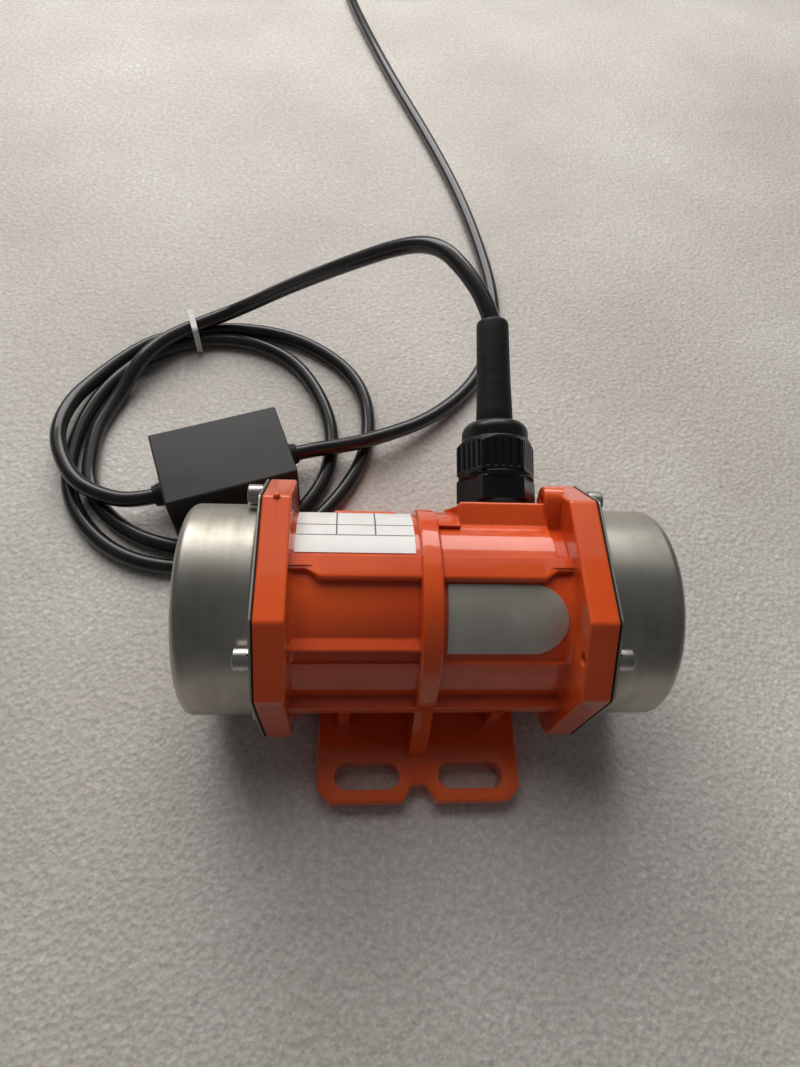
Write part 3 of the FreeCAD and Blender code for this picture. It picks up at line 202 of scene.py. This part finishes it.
def makeCord(name, points, diameter):
    curve = bpy.data.curves.new(name, "CURVE")
    curve.dimensions = "3D"
    curve.bevel_depth = diameter / 2
    curve.bevel_resolution = cordShape["roundness"]
    curve.use_fill_caps = True
    spline = curve.splines.new("NURBS")
    spline.points.add(len(points) - 1)
    for point, place in zip(spline.points, points):
        point.co = (*place, 1)
    spline.order_u = 3
    spline.use_endpoint_u = True
    spline.resolution_u = cordShape["smoothness"]
    curve.resolution_u = cordShape["smoothness"]
    return addObject(name, curve)


motorCord = makeCord(
    "motorCord",
    motorCordCard["rise"]
    + looseTurns(motorCordCard["middle"], motorCordCard["turns"])
    + motorCordCard["box entry"],
    motorCordCard["diameter"],
)
mainsCord = makeCord(
    "mainsCord",
    mainsCordCard["run"]
    + storedCoil(mainsCordCard["middle"], mainsCordCard["coil"])
    + mainsCordCard["to plug"],
    mainsCordCard["diameter"],
)
print("cords laid")


# Finishes. Each one reads Object coordinates, in metres.
def startFinish(name, colour, metallic, roughness):
    finish = bpy.data.materials.new(name)
    finish.use_nodes = True
    tree = finish.node_tree
    shader = tree.nodes["Principled BSDF"]
    shader.inputs["Base Color"].default_value = (*colour, 1)
    shader.inputs["Metallic"].default_value = metallic
    shader.inputs["Roughness"].default_value = roughness
    return finish, tree, shader


def objectPlace(tree, stretch=(1, 1, 1), centre=(0, 0, 0)):
    coordinates = tree.nodes.new("ShaderNodeTexCoord")
    mapping = tree.nodes.new("ShaderNodeMapping")
    mapping.inputs["Location"].default_value = centre
    mapping.inputs["Scale"].default_value = stretch
    tree.links.new(coordinates.outputs["Object"], mapping.inputs["Vector"])
    return mapping.outputs["Vector"]


def noise(tree, vector, scale, detail=4, roughness=0.5):
    texture = tree.nodes.new("ShaderNodeTexNoise")
    texture.inputs["Scale"].default_value = scale
    texture.inputs["Detail"].default_value = detail
    texture.inputs["Roughness"].default_value = roughness
    tree.links.new(vector, texture.inputs["Vector"])
    return texture.outputs["Fac"]


def cells(tree, vector, scale):
    texture = tree.nodes.new("ShaderNodeTexVoronoi")
    texture.inputs["Scale"].default_value = scale
    tree.links.new(vector, texture.inputs["Vector"])
    return texture.outputs["Distance"]


def spread(tree, value, low, high, fromLow=0.3, fromHigh=0.7):
    node = tree.nodes.new("ShaderNodeMapRange")
    node.inputs["From Min"].default_value = fromLow
    node.inputs["From Max"].default_value = fromHigh
    node.inputs["To Min"].default_value = low
    node.inputs["To Max"].default_value = high
    tree.links.new(value, node.inputs["Value"])
    return node.outputs["Result"]


def colours(tree, value, stops):
    ramp = tree.nodes.new("ShaderNodeValToRGB")
    while len(ramp.color_ramp.elements) < len(stops):
        ramp.color_ramp.elements.new(0.5)
    for element, (place, colour) in zip(ramp.color_ramp.elements, stops):
        element.position = place
        element.color = (*colour, 1)
    tree.links.new(value, ramp.inputs["Fac"])
    return ramp.outputs["Color"]


def figure(tree, operation, first, second=None):
    node = tree.nodes.new("ShaderNodeMath")
    node.operation = operation
    for socket, value in zip(node.inputs, (first, second)):
        if value is None:
            continue
        if isinstance(value, (int, float)):
            socket.default_value = value
        else:
            tree.links.new(value, socket)
    return node.outputs["Value"]


def blendValues(tree, *parts):
    # The sum of the values, each times its share
    total = None
    for value, share in parts:
        part = figure(tree, "MULTIPLY", value, share)
        total = part if total is None else figure(tree, "ADD", total, part)
    return total


def blendColour(tree, amount, first, second):
    node = tree.nodes.new("ShaderNodeMix")
    node.data_type = "RGBA"
    tree.links.new(amount, node.inputs["Factor"])
    for socket, value in zip((node.inputs[6], node.inputs[7]), (first, second)):
        if isinstance(value, tuple):
            socket.default_value = (*value, 1)
        else:
            tree.links.new(value, socket)
    return node.outputs[2]


def tint(tree, shader, value, stops):
    tree.links.new(colours(tree, value, stops), shader.inputs["Base Color"])


def roughen(tree, shader, value, low, high):
    tree.links.new(spread(tree, value, low, high), shader.inputs["Roughness"])


def topCoat(shader, under, weight, roughness):
    # The shine is in the coat, and the surface under it mirrors little.
    shader.inputs["Specular IOR Level"].default_value = under
    shader.inputs["Coat Weight"].default_value = weight
    shader.inputs["Coat Roughness"].default_value = roughness


edgeSamples = 6


def bump(tree, shader, height, distance, strength, edgeRadius=None):
    node = tree.nodes.new("ShaderNodeBump")
    if edgeRadius:  # castings, mouldings and drawn sheet have no sharp edges
        rounded = tree.nodes.new("ShaderNodeBevel")
        rounded.samples = edgeSamples
        rounded.inputs["Radius"].default_value = edgeRadius
        tree.links.new(rounded.outputs["Normal"], node.inputs["Normal"])
    node.inputs["Strength"].default_value = strength
    node.inputs["Distance"].default_value = distance
    tree.links.new(height, node.inputs["Height"])
    tree.links.new(node.outputs["Normal"], shader.inputs["Normal"])


def aboutMotorAxis(tree):
    # x along the motor, the distance from its axis, and the angle about it.
    split = tree.nodes.new("ShaderNodeSeparateXYZ")
    tree.links.new(objectPlace(tree, centre=(0, 0, -motorAxisHeight)), split.inputs[0])
    across = figure(tree, "MULTIPLY", split.outputs["Y"], split.outputs["Y"])
    upwards = figure(tree, "MULTIPLY", split.outputs["Z"], split.outputs["Z"])
    radius = figure(tree, "SQRT", figure(tree, "ADD", across, upwards))
    angle = figure(tree, "ARCTAN2", split.outputs["Z"], split.outputs["Y"])
    return split.outputs["X"], radius, angle


def vectorOf(tree, x, y, z):
    node = tree.nodes.new("ShaderNodeCombineXYZ")
    for socket, value in zip(node.inputs, (x, y, z)):
        if isinstance(value, (int, float)):
            socket.default_value = value
        else:
            tree.links.new(value, socket)
    return node.outputs[0]


def spunNoise(tree, fineness, detail, roughness=0.5):
    # Streaks that run round the motor's axis
    along, radius, angle = aboutMotorAxis(tree)
    lengthwise = figure(tree, "MULTIPLY", along, fineness)
    outward = figure(tree, "MULTIPLY", radius, fineness)
    return noise(tree, vectorOf(tree, lengthwise, outward, angle), 1.0, detail, roughness)


def glossPaint():
    finish, tree, shader = startFinish("orangeGlossPaint", (0.76, 0.095, 0.014), 0, 0.26)
    place = objectPlace(tree)
    base = colours(tree, noise(tree, place, scale=22, detail=3), [
        (0.30, (0.66, 0.072, 0.010)),
        (0.52, (0.76, 0.095, 0.014)),
        (0.72, (0.82, 0.120, 0.020)),
    ])
    pointiness = tree.nodes.new("ShaderNodeNewGeometry").outputs["Pointiness"]
    # Sharp edges are mixed towards a lighter orange: partly wear, partly a painted highlight.
    edge = spread(tree, pointiness, 0, 0.5, fromLow=0.52, fromHigh=0.60)
    # Hollows and creases are mixed towards a dark red: painted shade.
    hollow = spread(tree, pointiness, 0.40, 0, fromLow=0.42, fromHigh=0.49)
    edgeHighlightAndWear = blendColour(tree, edge, base, (0.86, 0.17, 0.045))
    hollowShaded = blendColour(tree, hollow, edgeHighlightAndWear, (0.42, 0.035, 0.006))
    tree.links.new(hollowShaded, shader.inputs["Base Color"])
    roughen(tree, shader, noise(tree, place, scale=60, detail=5), 0.20, 0.36)
    topCoat(shader, under=0.15, weight=1.0, roughness=0.05)
    fine = noise(tree, place, scale=420, detail=2)
    broad = noise(tree, place, scale=95, detail=3)
    peel = blendValues(tree, (fine, 1), (broad, 1.6))
    bump(tree, shader, peel, distance=0.00012, strength=0.5, edgeRadius=0.0009)
    return finish


def spunSteel():
    finish, tree, shader = startFinish("spunStainless", (0.60, 0.57, 0.52), 1, 0.36)
    streak = spunNoise(tree, 2600, detail=3, roughness=0.7)
    wide = spunNoise(tree, 160, detail=2)
    stain = noise(tree, objectPlace(tree), scale=38, detail=5, roughness=0.6)
    mixed = blendValues(tree, (streak, 0.12), (stain, 0.62), (wide, 0.26))
    tint(tree, shader, mixed, [
        (0.36, (0.36, 0.335, 0.285)),
        (0.50, (0.50, 0.475, 0.42)),
        (0.64, (0.60, 0.58, 0.53)),
    ])
    roughen(tree, shader, mixed, 0.46, 0.35)
    bump(tree, shader, streak, distance=0.00002, strength=0.35, edgeRadius=0.0004)
    return finish


def plainMetal(name, colour, dark, roughness, scale):
    finish, tree, shader = startFinish(name, colour, 1, roughness)
    place = objectPlace(tree)
    patch = noise(tree, place, scale, detail=5, roughness=0.6)
    tint(tree, shader, patch, [(0.35, dark), (0.62, colour)])
    roughen(tree, shader, patch, roughness + 0.12, roughness - 0.05)
    bump(tree, shader, noise(tree, place, scale * 9, detail=3), distance=0.00005, strength=0.4)
    return finish


def darkPlastic(name, colour, roughness, grain, depth):
    finish, tree, shader = startFinish(name, colour, 0, roughness)
    place = objectPlace(tree)
    cloud = noise(tree, place, scale=45, detail=4)
    pale = tuple(part * 1.6 + 0.001 for part in colour)
    tint(tree, shader, cloud, [(0.35, colour), (0.70, pale)])
    roughen(tree, shader, cloud, roughness - 0.06, roughness + 0.10)
    relief = noise(tree, place, grain, detail=4, roughness=0.6)
    bump(tree, shader, relief, depth, strength=0.6, edgeRadius=0.0005)
    return finish


def cordSheath():
    finish, tree, shader = startFinish("blackCordSheath", (0.008, 0.008, 0.008), 0, 0.45)
    place = objectPlace(tree)
    smear = noise(tree, place, scale=70, detail=5, roughness=0.65)
    tint(tree, shader, smear, [(0.40, (0.006, 0.006, 0.006)), (0.72, (0.017, 0.016, 0.015))])
    roughen(tree, shader, smear, 0.38, 0.55)
    topCoat(shader, under=0.25, weight=0.8, roughness=0.09)
    bump(tree, shader, noise(tree, place, scale=650, detail=3), distance=0.00005, strength=0.4)
    return finish


def brushedPlate():
    finish, tree, shader = startFinish("brushedPlate", (0.56, 0.54, 0.47), 0.6, 0.42)
    stretched = objectPlace(tree, stretch=(40, 2400, 2400))
    grain = noise(tree, stretched, scale=1.0, detail=3, roughness=0.6)
    cloud = noise(tree, objectPlace(tree), scale=70, detail=4)
    tone = blendValues(tree, (grain, 0.2), (cloud, 0.8))
    tint(tree, shader, tone, [(0.36, (0.48, 0.465, 0.40)), (0.64, (0.62, 0.60, 0.53))])
    roughen(tree, shader, tone, 0.50, 0.38)
    bump(tree, shader, grain, distance=0.00001, strength=0.4)
    return finish


labelCard = {
    "columns": (-0.0297, -0.0175),  # x of the two upright rules, metres
    "rows": (59, 69),  # degrees about the motor's axis
    "columnEnd": 69,  # degrees, where the upright rules stop
    "rule": 0.00023,  # half the width of a rule, metres
}


def rulesAt(tree, value, places, halfWidth):
    # 1 where the value is near one of the places, and 0 elsewhere
    marked = None
    for place in places:
        near = figure(tree, "ABSOLUTE", figure(tree, "SUBTRACT", value, place))
        rule = figure(tree, "LESS_THAN", near, halfWidth)
        marked = rule if marked is None else figure(tree, "MAXIMUM", marked, rule)
    return marked


def ruledFilm(card):
    finish, tree, shader = startFinish("ruledWhiteFilm", (0.80, 0.79, 0.76), 0, 0.34)
    along, _, angle = aboutMotorAxis(tree)
    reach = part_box("rating_label")[1].z - motorAxisHeight
    belowEnd = figure(tree, "LESS_THAN", angle, radians(card["columnEnd"]))
    uprights = figure(tree, "MULTIPLY", rulesAt(tree, along, card["columns"], card["rule"]), belowEnd)
    levels = rulesAt(tree, angle, [radians(row) for row in card["rows"]], card["rule"] / reach)
    ink = figure(tree, "MAXIMUM", uprights, levels)
    speck = noise(tree, objectPlace(tree), scale=160, detail=4)
    paper = colours(tree, speck, [(0.3, (0.72, 0.71, 0.685)), (0.7, (0.80, 0.79, 0.765))])
    tree.links.new(blendColour(tree, ink, paper, (0.09, 0.09, 0.09)), shader.inputs["Base Color"])
    roughen(tree, shader, speck, 0.30, 0.42)
    return finish


def lamination():
    finish, tree, shader = startFinish("lamination", (0.25, 0.25, 0.27), 1, 0.5)
    wave = tree.nodes.new("ShaderNodeTexWave")
    wave.inputs["Scale"].default_value = 320
    wave.inputs["Distortion"].default_value = 0.4
    tree.links.new(objectPlace(tree), wave.inputs["Vector"])
    tint(tree, shader, wave.outputs["Fac"], [(0.2, (0.16, 0.16, 0.17)), (0.8, (0.30, 0.30, 0.32))])
    bump(tree, shader, wave.outputs["Fac"], distance=0.0001, strength=0.6)
    return finish


def enamelledCopper():
    finish, tree, shader = startFinish("enamelledCopper", (0.55, 0.20, 0.07), 0.7, 0.35)
    strands = noise(tree, objectPlace(tree, stretch=(1, 900, 900)), scale=1.0, detail=3)
    tint(tree, shader, strands, [(0.35, (0.36, 0.11, 0.04)), (0.65, (0.66, 0.27, 0.10))])
    bump(tree, shader, strands, distance=0.0002, strength=0.8)
    return finish


def milkyNylon():
    finish, tree, shader = startFinish("milkyNylon", (0.56, 0.56, 0.54), 0, 0.38)
    cloud = noise(tree, objectPlace(tree), scale=240, detail=4)
    tint(tree, shader, cloud, [(0.3, (0.48, 0.48, 0.46)), (0.7, (0.64, 0.64, 0.62))])
    shader.inputs["Subsurface Weight"].default_value = 0.15
    shader.inputs["Subsurface Radius"].default_value = (0.001, 0.001, 0.001)
    bump(tree, shader, cloud, distance=0.00008, strength=0.5)
    return finish


def foamFloor():
    finish, tree, shader = startFinish("paleFoam", (0.55, 0.52, 0.49), 0, 0.72)
    place = objectPlace(tree)
    cloud = noise(tree, place, scale=9, detail=4)
    fine = noise(tree, place, scale=420, detail=3, roughness=0.7)
    # The palest stop puts bright specks into the colour: painted glints.
    tint(tree, shader, blendValues(tree, (fine, 0.65), (cloud, 0.35)), [
        (0.36, (0.44, 0.405, 0.375)),
        (0.50, (0.545, 0.51, 0.475)),
        (0.62, (0.64, 0.61, 0.575)),
        (0.70, (0.86, 0.84, 0.81)),
    ])
    roughen(tree, shader, fine, 0.5, 0.85)
    dents = noise(tree, place, scale=60, detail=3)
    height = blendValues(tree, (cells(tree, place, scale=520), 1), (dents, 2))
    bump(tree, shader, height, distance=0.0006, strength=0.55)
    return finish


# Name, colour, colour of the dark patches, roughness, patches to a metre
metalCards = {
    "shield_metal": ("castShield", (0.55, 0.55, 0.56), (0.38, 0.38, 0.39), 0.42, 60),
    "screw_steel": ("brightScrew", (0.62, 0.60, 0.56), (0.42, 0.40, 0.36), 0.27, 220),
    "bearing_steel": ("bearingSteel", (0.66, 0.66, 0.68), (0.50, 0.50, 0.52), 0.18, 90),
    "shaft_steel": ("groundShaft", (0.56, 0.56, 0.58), (0.42, 0.42, 0.44), 0.25, 120),
    "rotor_aluminium": ("castRotor", (0.60, 0.60, 0.61), (0.44, 0.44, 0.45), 0.38, 80),
    "weight_steel": ("sawnWeight", (0.36, 0.36, 0.38), (0.22, 0.22, 0.23), 0.42, 70),
    "pin_brass": ("pinBrass", (0.72, 0.53, 0.22), (0.55, 0.38, 0.15), 0.24, 200),
}
# Name, colour, roughness, grains to a metre, depth of the grain in metres
plasticCards = {
    "gasket_rubber": ("gasketRubber", (0.012, 0.012, 0.012), 0.62, 500, 0.0002),
    "gland_nylon": ("glandNylon", (0.003, 0.003, 0.003), 0.30, 420, 0.00006),
    "sleeve_rubber": ("sleeveRubber", (0.0035, 0.0035, 0.0033), 0.55, 230, 0.0004),
    "box_plastic": ("boxPlastic", (0.015, 0.0155, 0.015), 0.38, 900, 0.00008),
    "capacitor_case": ("capacitorCase", (0.10, 0.14, 0.18), 0.4, 300, 0.0001),
    "plug_plastic": ("plugPlastic", (0.016, 0.016, 0.017), 0.4, 500, 0.0001),
}
finishes = {
    "housing_paint": glossPaint(),
    "cap_steel": spunSteel(),
    "core_steel": lamination(),
    "copper_winding": enamelledCopper(),
    "tie_nylon": milkyNylon(),
    "cable_pvc": cordSheath(),
    "nameplate_metal": brushedPlate(),
    "label_film": ruledFilm(labelCard),
}
for slotName, card in metalCards.items():
    finishes[slotName] = plainMetal(*card)
for slotName, card in plasticCards.items():
    finishes[slotName] = darkPlastic(*card)
for node in cadNodes.values():
    for slot in node.material_slots:
        slot.material = finishes[slot.material.name.split(".")[0]]
print("finishes on", len(cadNodes), "nodes")


# Pieces
mergeDistance = 0.000002  # corners nearer than this become one
evenWeight = 60  # over 50, the larger faces count for more


def addPiece(name, mesh, slotName, body):
    piece = addObject(name, mesh)
    mesh.materials.clear()
    mesh.materials.append(finishes[slotName])
    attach(piece, body)
    return piece


def finishMesh(shape, name, sharpDegrees=32):
    # Smooth faces, with hard edges where the shape turns by more than the given angle.
    for face in shape.faces:
        face.smooth = True
    for edge in shape.edges:
        edge.smooth = edge.is_manifold and edge.calc_face_angle(0) < radians(sharpDegrees)
    mesh = bpy.data.meshes.new(name)
    shape.to_mesh(mesh)
    shape.free()
    if "custom_normal" in mesh.attributes:
        mesh.attributes.remove(mesh.attributes["custom_normal"])
    return mesh


def evenNormals(piece):
    weighted = piece.modifiers.new("evenNormals", "WEIGHTED_NORMAL")
    weighted.keep_sharp = True
    weighted.weight = evenWeight
    return piece


def nodeShape(nodeName):
    shape = bmesh.new()
    shape.from_mesh(cadNodes[nodeName].data)
    bmesh.ops.remove_doubles(shape, verts=shape.verts, dist=mergeDistance)
    return shape


def mergedCopy(nodeName, pieceName, slotName, body):
    piece = addPiece(pieceName, finishMesh(nodeShape(nodeName), pieceName), slotName, body)
    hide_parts(nodeName)
    return evenNormals(piece)


mergedPieces = [
    ("housing", "housingCasting", "housing_paint"),
    ("cap_left", "leftCap", "cap_steel"),
    ("cap_right", "rightCap", "cap_steel"),
    ("cap_washers", "capWashers", "screw_steel"),
    ("gasket_left", "leftGasket", "gasket_rubber"),
    ("gasket_right", "rightGasket", "gasket_rubber"),
    ("gland_body", "glandBody", "gland_nylon"),
    ("gland_nut", "glandNut", "gland_nylon"),
    ("gland_washer", "glandWasher", "gasket_rubber"),
    ("capacitor_box", "boxShell", "box_plastic"),
    ("box_grommets", "boxGrommets", "sleeve_rubber"),
    ("nameplate", "barePlate", "nameplate_metal"),
    ("rating_label", "bareLabel", "label_film"),
    ("plug_body", "plugShell", "plug_plastic"),
    ("plug_pins", "plugPins", "pin_brass"),
]
for nodeName, pieceName, slotName in mergedPieces:
    mergedCopy(nodeName, pieceName, slotName, "motor_frame")
print("castings, caps and gland dressed")

screwCard = {
    "circle": 0.03895,
    "angles": (45, 135, 225, 315),
    "radius": 0.0035,
    "height": 0.0040,
    "rim": 0.00055,  # how far the outer edge is rounded
    "rimSteps": 5,
    "face": 0.62,  # share of the radius at which the flat face has a ring of its own
    "key": 0.0030,  # across the flats of the hexagon
    "socket": 0.0021,
    "steps": 48,
}


def extrudeRing(shape, ring, lift=(0, 0, 0), scale=1.0):
    grown = bmesh.ops.extrude_edge_only(shape, edges=ring)["geom"]
    points = {part for part in grown if isinstance(part, bmesh.types.BMVert)}
    bmesh.ops.scale(shape, vec=(scale, scale, 1), verts=list(points))
    bmesh.ops.translate(shape, vec=lift, verts=list(points))
    edges = [part for part in grown if isinstance(part, bmesh.types.BMEdge)]
    return [edge for edge in edges if points.issuperset(edge.verts)]


def socketHead(card):
    shape = bmesh.new()
    bmesh.ops.create_circle(shape, cap_ends=False, segments=card["steps"], radius=card["radius"])
    rim = extrudeRing(shape, shape.edges[:], lift=(0, 0, card["height"]))
    face = extrudeRing(shape, rim, scale=card["face"])
    mouth = extrudeRing(shape, face)
    side = pi / 3  # the angle that one side of the hexagon takes up
    for point in {point for edge in mouth for point in edge.verts}:
        angle = atan2(point.co.y, point.co.x)
        reach = card["key"] / 2 / cos(angle % side - side / 2)
        point.co.x = reach * cos(angle)
        point.co.y = reach * sin(angle)
    bottom = extrudeRing(shape, mouth, lift=(0, 0, -card["socket"]))
    bmesh.ops.edgeloop_fill(shape, edges=bottom)
    bmesh.ops.edgeloop_fill(shape, edges=[edge for edge in shape.edges if edge.is_boundary])
    bmesh.ops.bevel(
        shape,
        geom=rim,
        offset=card["rim"],
        segments=card["rimSteps"],
        profile=0.5,
        affect="EDGES",
        material=-1,
        clamp_overlap=True,
    )
    bmesh.ops.recalc_face_normals(shape, faces=shape.faces)
    return shape


def makeCapScrews(card):
    oneHead = bpy.data.meshes.new("oneHead")
    head = socketHead(card)
    head.to_mesh(oneHead)
    head.free()
    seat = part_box("cap_washers")[1].x
    heads = bmesh.new()
    for side in (-1, 1):
        for degrees in card["angles"]:
            angle = radians(degrees)
            across = card["circle"] * cos(angle)
            upwards = motorAxisHeight + card["circle"] * sin(angle)
            place = Matrix.Translation((side * seat, across, upwards))
            start = len(heads.verts)
            heads.from_mesh(oneHead)
            heads.verts.ensure_lookup_table()
            turned = place @ Matrix.Rotation(side * pi / 2, 4, "Y")
            bmesh.ops.transform(heads, matrix=turned, verts=heads.verts[start:])
    bmesh.ops.recalc_face_normals(heads, faces=heads.faces)
    bpy.data.meshes.remove(oneHead)
    mesh = finishMesh(heads, "capScrewHeads", sharpDegrees=28)
    piece = addPiece("capScrewHeads", mesh, "screw_steel", "motor_frame")
    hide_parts("cap_screws")
    return piece


makeCapScrews(screwCard)

sleeveCard = {
    "foot": (0.0252, 0.03015, 0.0566),  # where the gland stands on its pad
    "slope": 20,  # degrees up from level
    "steps": 64,
    # distance from the axis and along it, millimetres, from inside the nut to the mouth and back
    "profile": [
        (6.15, 23.9), (6.15, 30.4), (6.45, 31.6), (6.35, 36.0), (6.10, 44.0), (5.95, 54.0),
        (5.85, 63.0), (5.80, 67.6), (5.65, 68.7), (5.30, 69.15), (4.70, 69.2),
        (4.30, 68.9), (4.05, 68.0), (3.95, 64.0), (3.80, 50.0), (3.80, 23.9),
    ],
}


def alongGland(card):
    turn = Matrix.Rotation(-(pi / 2 - radians(card["slope"])), 4, "X")
    return Matrix.Translation(card["foot"]) @ turn


def makeSleeve(card):
    shape = bmesh.new()
    points = [
        shape.verts.new((radius * millimetre, 0, along * millimetre))
        for radius, along in card["profile"]
    ]
    ring = [shape.edges.new(pair) for pair in zip(points, points[1:] + points[:1])]
    bmesh.ops.spin(
        shape,
        geom=ring + points,
        cent=(0, 0, 0),
        axis=(0, 0, 1),
        angle=2 * pi,
        steps=card["steps"],
        use_merge=True,
    )
    bmesh.ops.remove_doubles(shape, verts=shape.verts, dist=mergeDistance)
    bmesh.ops.recalc_face_normals(shape, faces=shape.faces)
    bmesh.ops.transform(shape, matrix=alongGland(card), verts=shape.verts)
    mesh = finishMesh(shape, "cordSleeve", sharpDegrees=50)
    piece = addPiece("cordSleeve", mesh, "sleeve_rubber", "motor_frame")
    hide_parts("cable_sleeve")
    return piece


makeSleeve(sleeveCard)

tieCard = {
    "direction": 107,  # degrees, from the middle of the turns out to the tie
    "tail": 0.0045,
    "tailWidth": 0.0024,
    "tailThickness": 0.0009,
    "tailHeight": 0.0045,
    "tailRise": 0.35,  # how far it rises for each metre outwards
    "sunk": 0.0004,  # how deep it starts inside the head
    "tailSteps": 16,
}


def makeTie(card):
    # The band of the CAD solid, with the cut-off end of its strap standing out of the head.
    shape = nodeShape("cable_tie")
    outward = Matrix.Rotation(radians(card["direction"]), 4, "Z")
    along = outward.col[0].to_3d()
    reach = max(point.co @ along for point in shape.verts)
    low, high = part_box("cable_tie")
    middle = (low + high) / 2
    start = middle + along * (reach - middle @ along - card["sunk"])
    start.z = card["tailHeight"]
    half = 0.5
    tail = bmesh.ops.create_grid(shape, x_segments=card["tailSteps"], y_segments=2, size=half)["verts"]
    for point in tail:
        point.co.x = (point.co.x + half) * card["tail"]
        point.co.y *= card["tailWidth"]
        point.co.z = point.co.x * card["tailRise"]
    strip = list({face for point in tail for face in point.link_faces})
    solid = bmesh.ops.solidify(shape, geom=strip, thickness=card["tailThickness"])["geom"]
    moved = list({part for part in solid if isinstance(part, bmesh.types.BMVert)} | set(tail))
    bmesh.ops.transform(shape, matrix=Matrix.Translation(start) @ outward, verts=moved)
    bmesh.ops.recalc_face_normals(shape, faces=shape.faces)
    mesh = finishMesh(shape, "cordTie", sharpDegrees=40)
    piece = addPiece("cordTie", mesh, "tie_nylon", "motor_frame")
    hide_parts("cable_tie")
    return evenNormals(piece)


makeTie(tieCard)

print("screws, sleeve and tie made")

# The cords get their finish and are attached to the body once their pieces are there.
for cord in (motorCord, mainsCord):
    cord.data.materials.append(finishes["cable_pvc"])
    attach(cord, "motor_frame")
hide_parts("motor_cable_lead", "motor_cable_loops", "box_entry_lead")
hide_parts("mains_cable_lead", "mains_cable_coil", "plug_lead")

# Stage and light
stageCard = {"size": 6.0, "drop": 0.0001}


def makeFloor(card):
    shape = bmesh.new()
    bmesh.ops.create_grid(shape, x_segments=4, y_segments=4, size=card["size"] / 2)
    bmesh.ops.translate(shape, vec=(0, 0, -card["drop"]), verts=shape.verts)
    mesh = bpy.data.meshes.new("foamFloor")
    shape.to_mesh(mesh)
    shape.free()
    mesh.materials.append(foamFloor())
    floor = addObject("foamFloor", mesh)


# A mirrored lamp is seen in gloss and metal, and the others only give light.
lampCards = [
    {
        "name": "windowLight", "place": (-0.15, 1.00, 0.62), "aim": (0, 0.05, 0.03),
        "size": (1.20, 0.50), "power": 7.0, "colour": (1.0, 0.985, 0.955), "mirrored": True,
    },
    {
        "name": "ceilingLight", "place": (-0.20, 0.80, 1.15), "aim": (-0.02, 0.05, 0.0),
        "size": (1.1, 1.1), "power": 10.5, "colour": (1.0, 0.98, 0.95), "mirrored": False,
    },
    {
        "name": "paleWall", "place": (-0.10, 1.15, 1.05), "aim": (-0.02, 0.05, 0.0),
        "size": (2.2, 1.3), "power": 5.0, "colour": (1.0, 0.985, 0.955), "mirrored": True,
    },
    {
        "name": "frontFill", "place": (0.45, -0.85, 0.75), "aim": (0, 0, 0.03),
        "size": (0.8, 0.8), "power": 0.2, "colour": (1.0, 0.97, 0.93), "mirrored": False,
    },
]


def makeLamp(card):
    light = bpy.data.lights.new(card["name"], "AREA")
    light.shape = "RECTANGLE"
    light.size, light.size_y = card["size"]
    light.energy = card["power"]
    light.color = card["colour"]
    lamp = addObject(card["name"], light)
    lamp.location = card["place"]
    direction = Vector(card["aim"]) - Vector(card["place"])
    lamp.rotation_euler = direction.to_track_quat("-Z", "Y").to_euler()
    lamp.visible_glossy = card["mirrored"]


airCard = {"colour": (0.86, 0.88, 0.92), "light": 0.10}


def makeWorld(card):
    # A dim room round the object
    world = bpy.data.worlds.new("studioAir")
    world.use_nodes = True
    air = world.node_tree.nodes["Background"]
    air.inputs["Color"].default_value = (*card["colour"], 1)
    air.inputs["Strength"].default_value = card["light"]
    bpy.context.scene.world = world


makeFloor(stageCard)
for lampCard in lampCards:
    makeLamp(lampCard)
makeWorld(airCard)
bpy.context.scene.view_settings.view_transform = "Standard"
print("stage and light set")
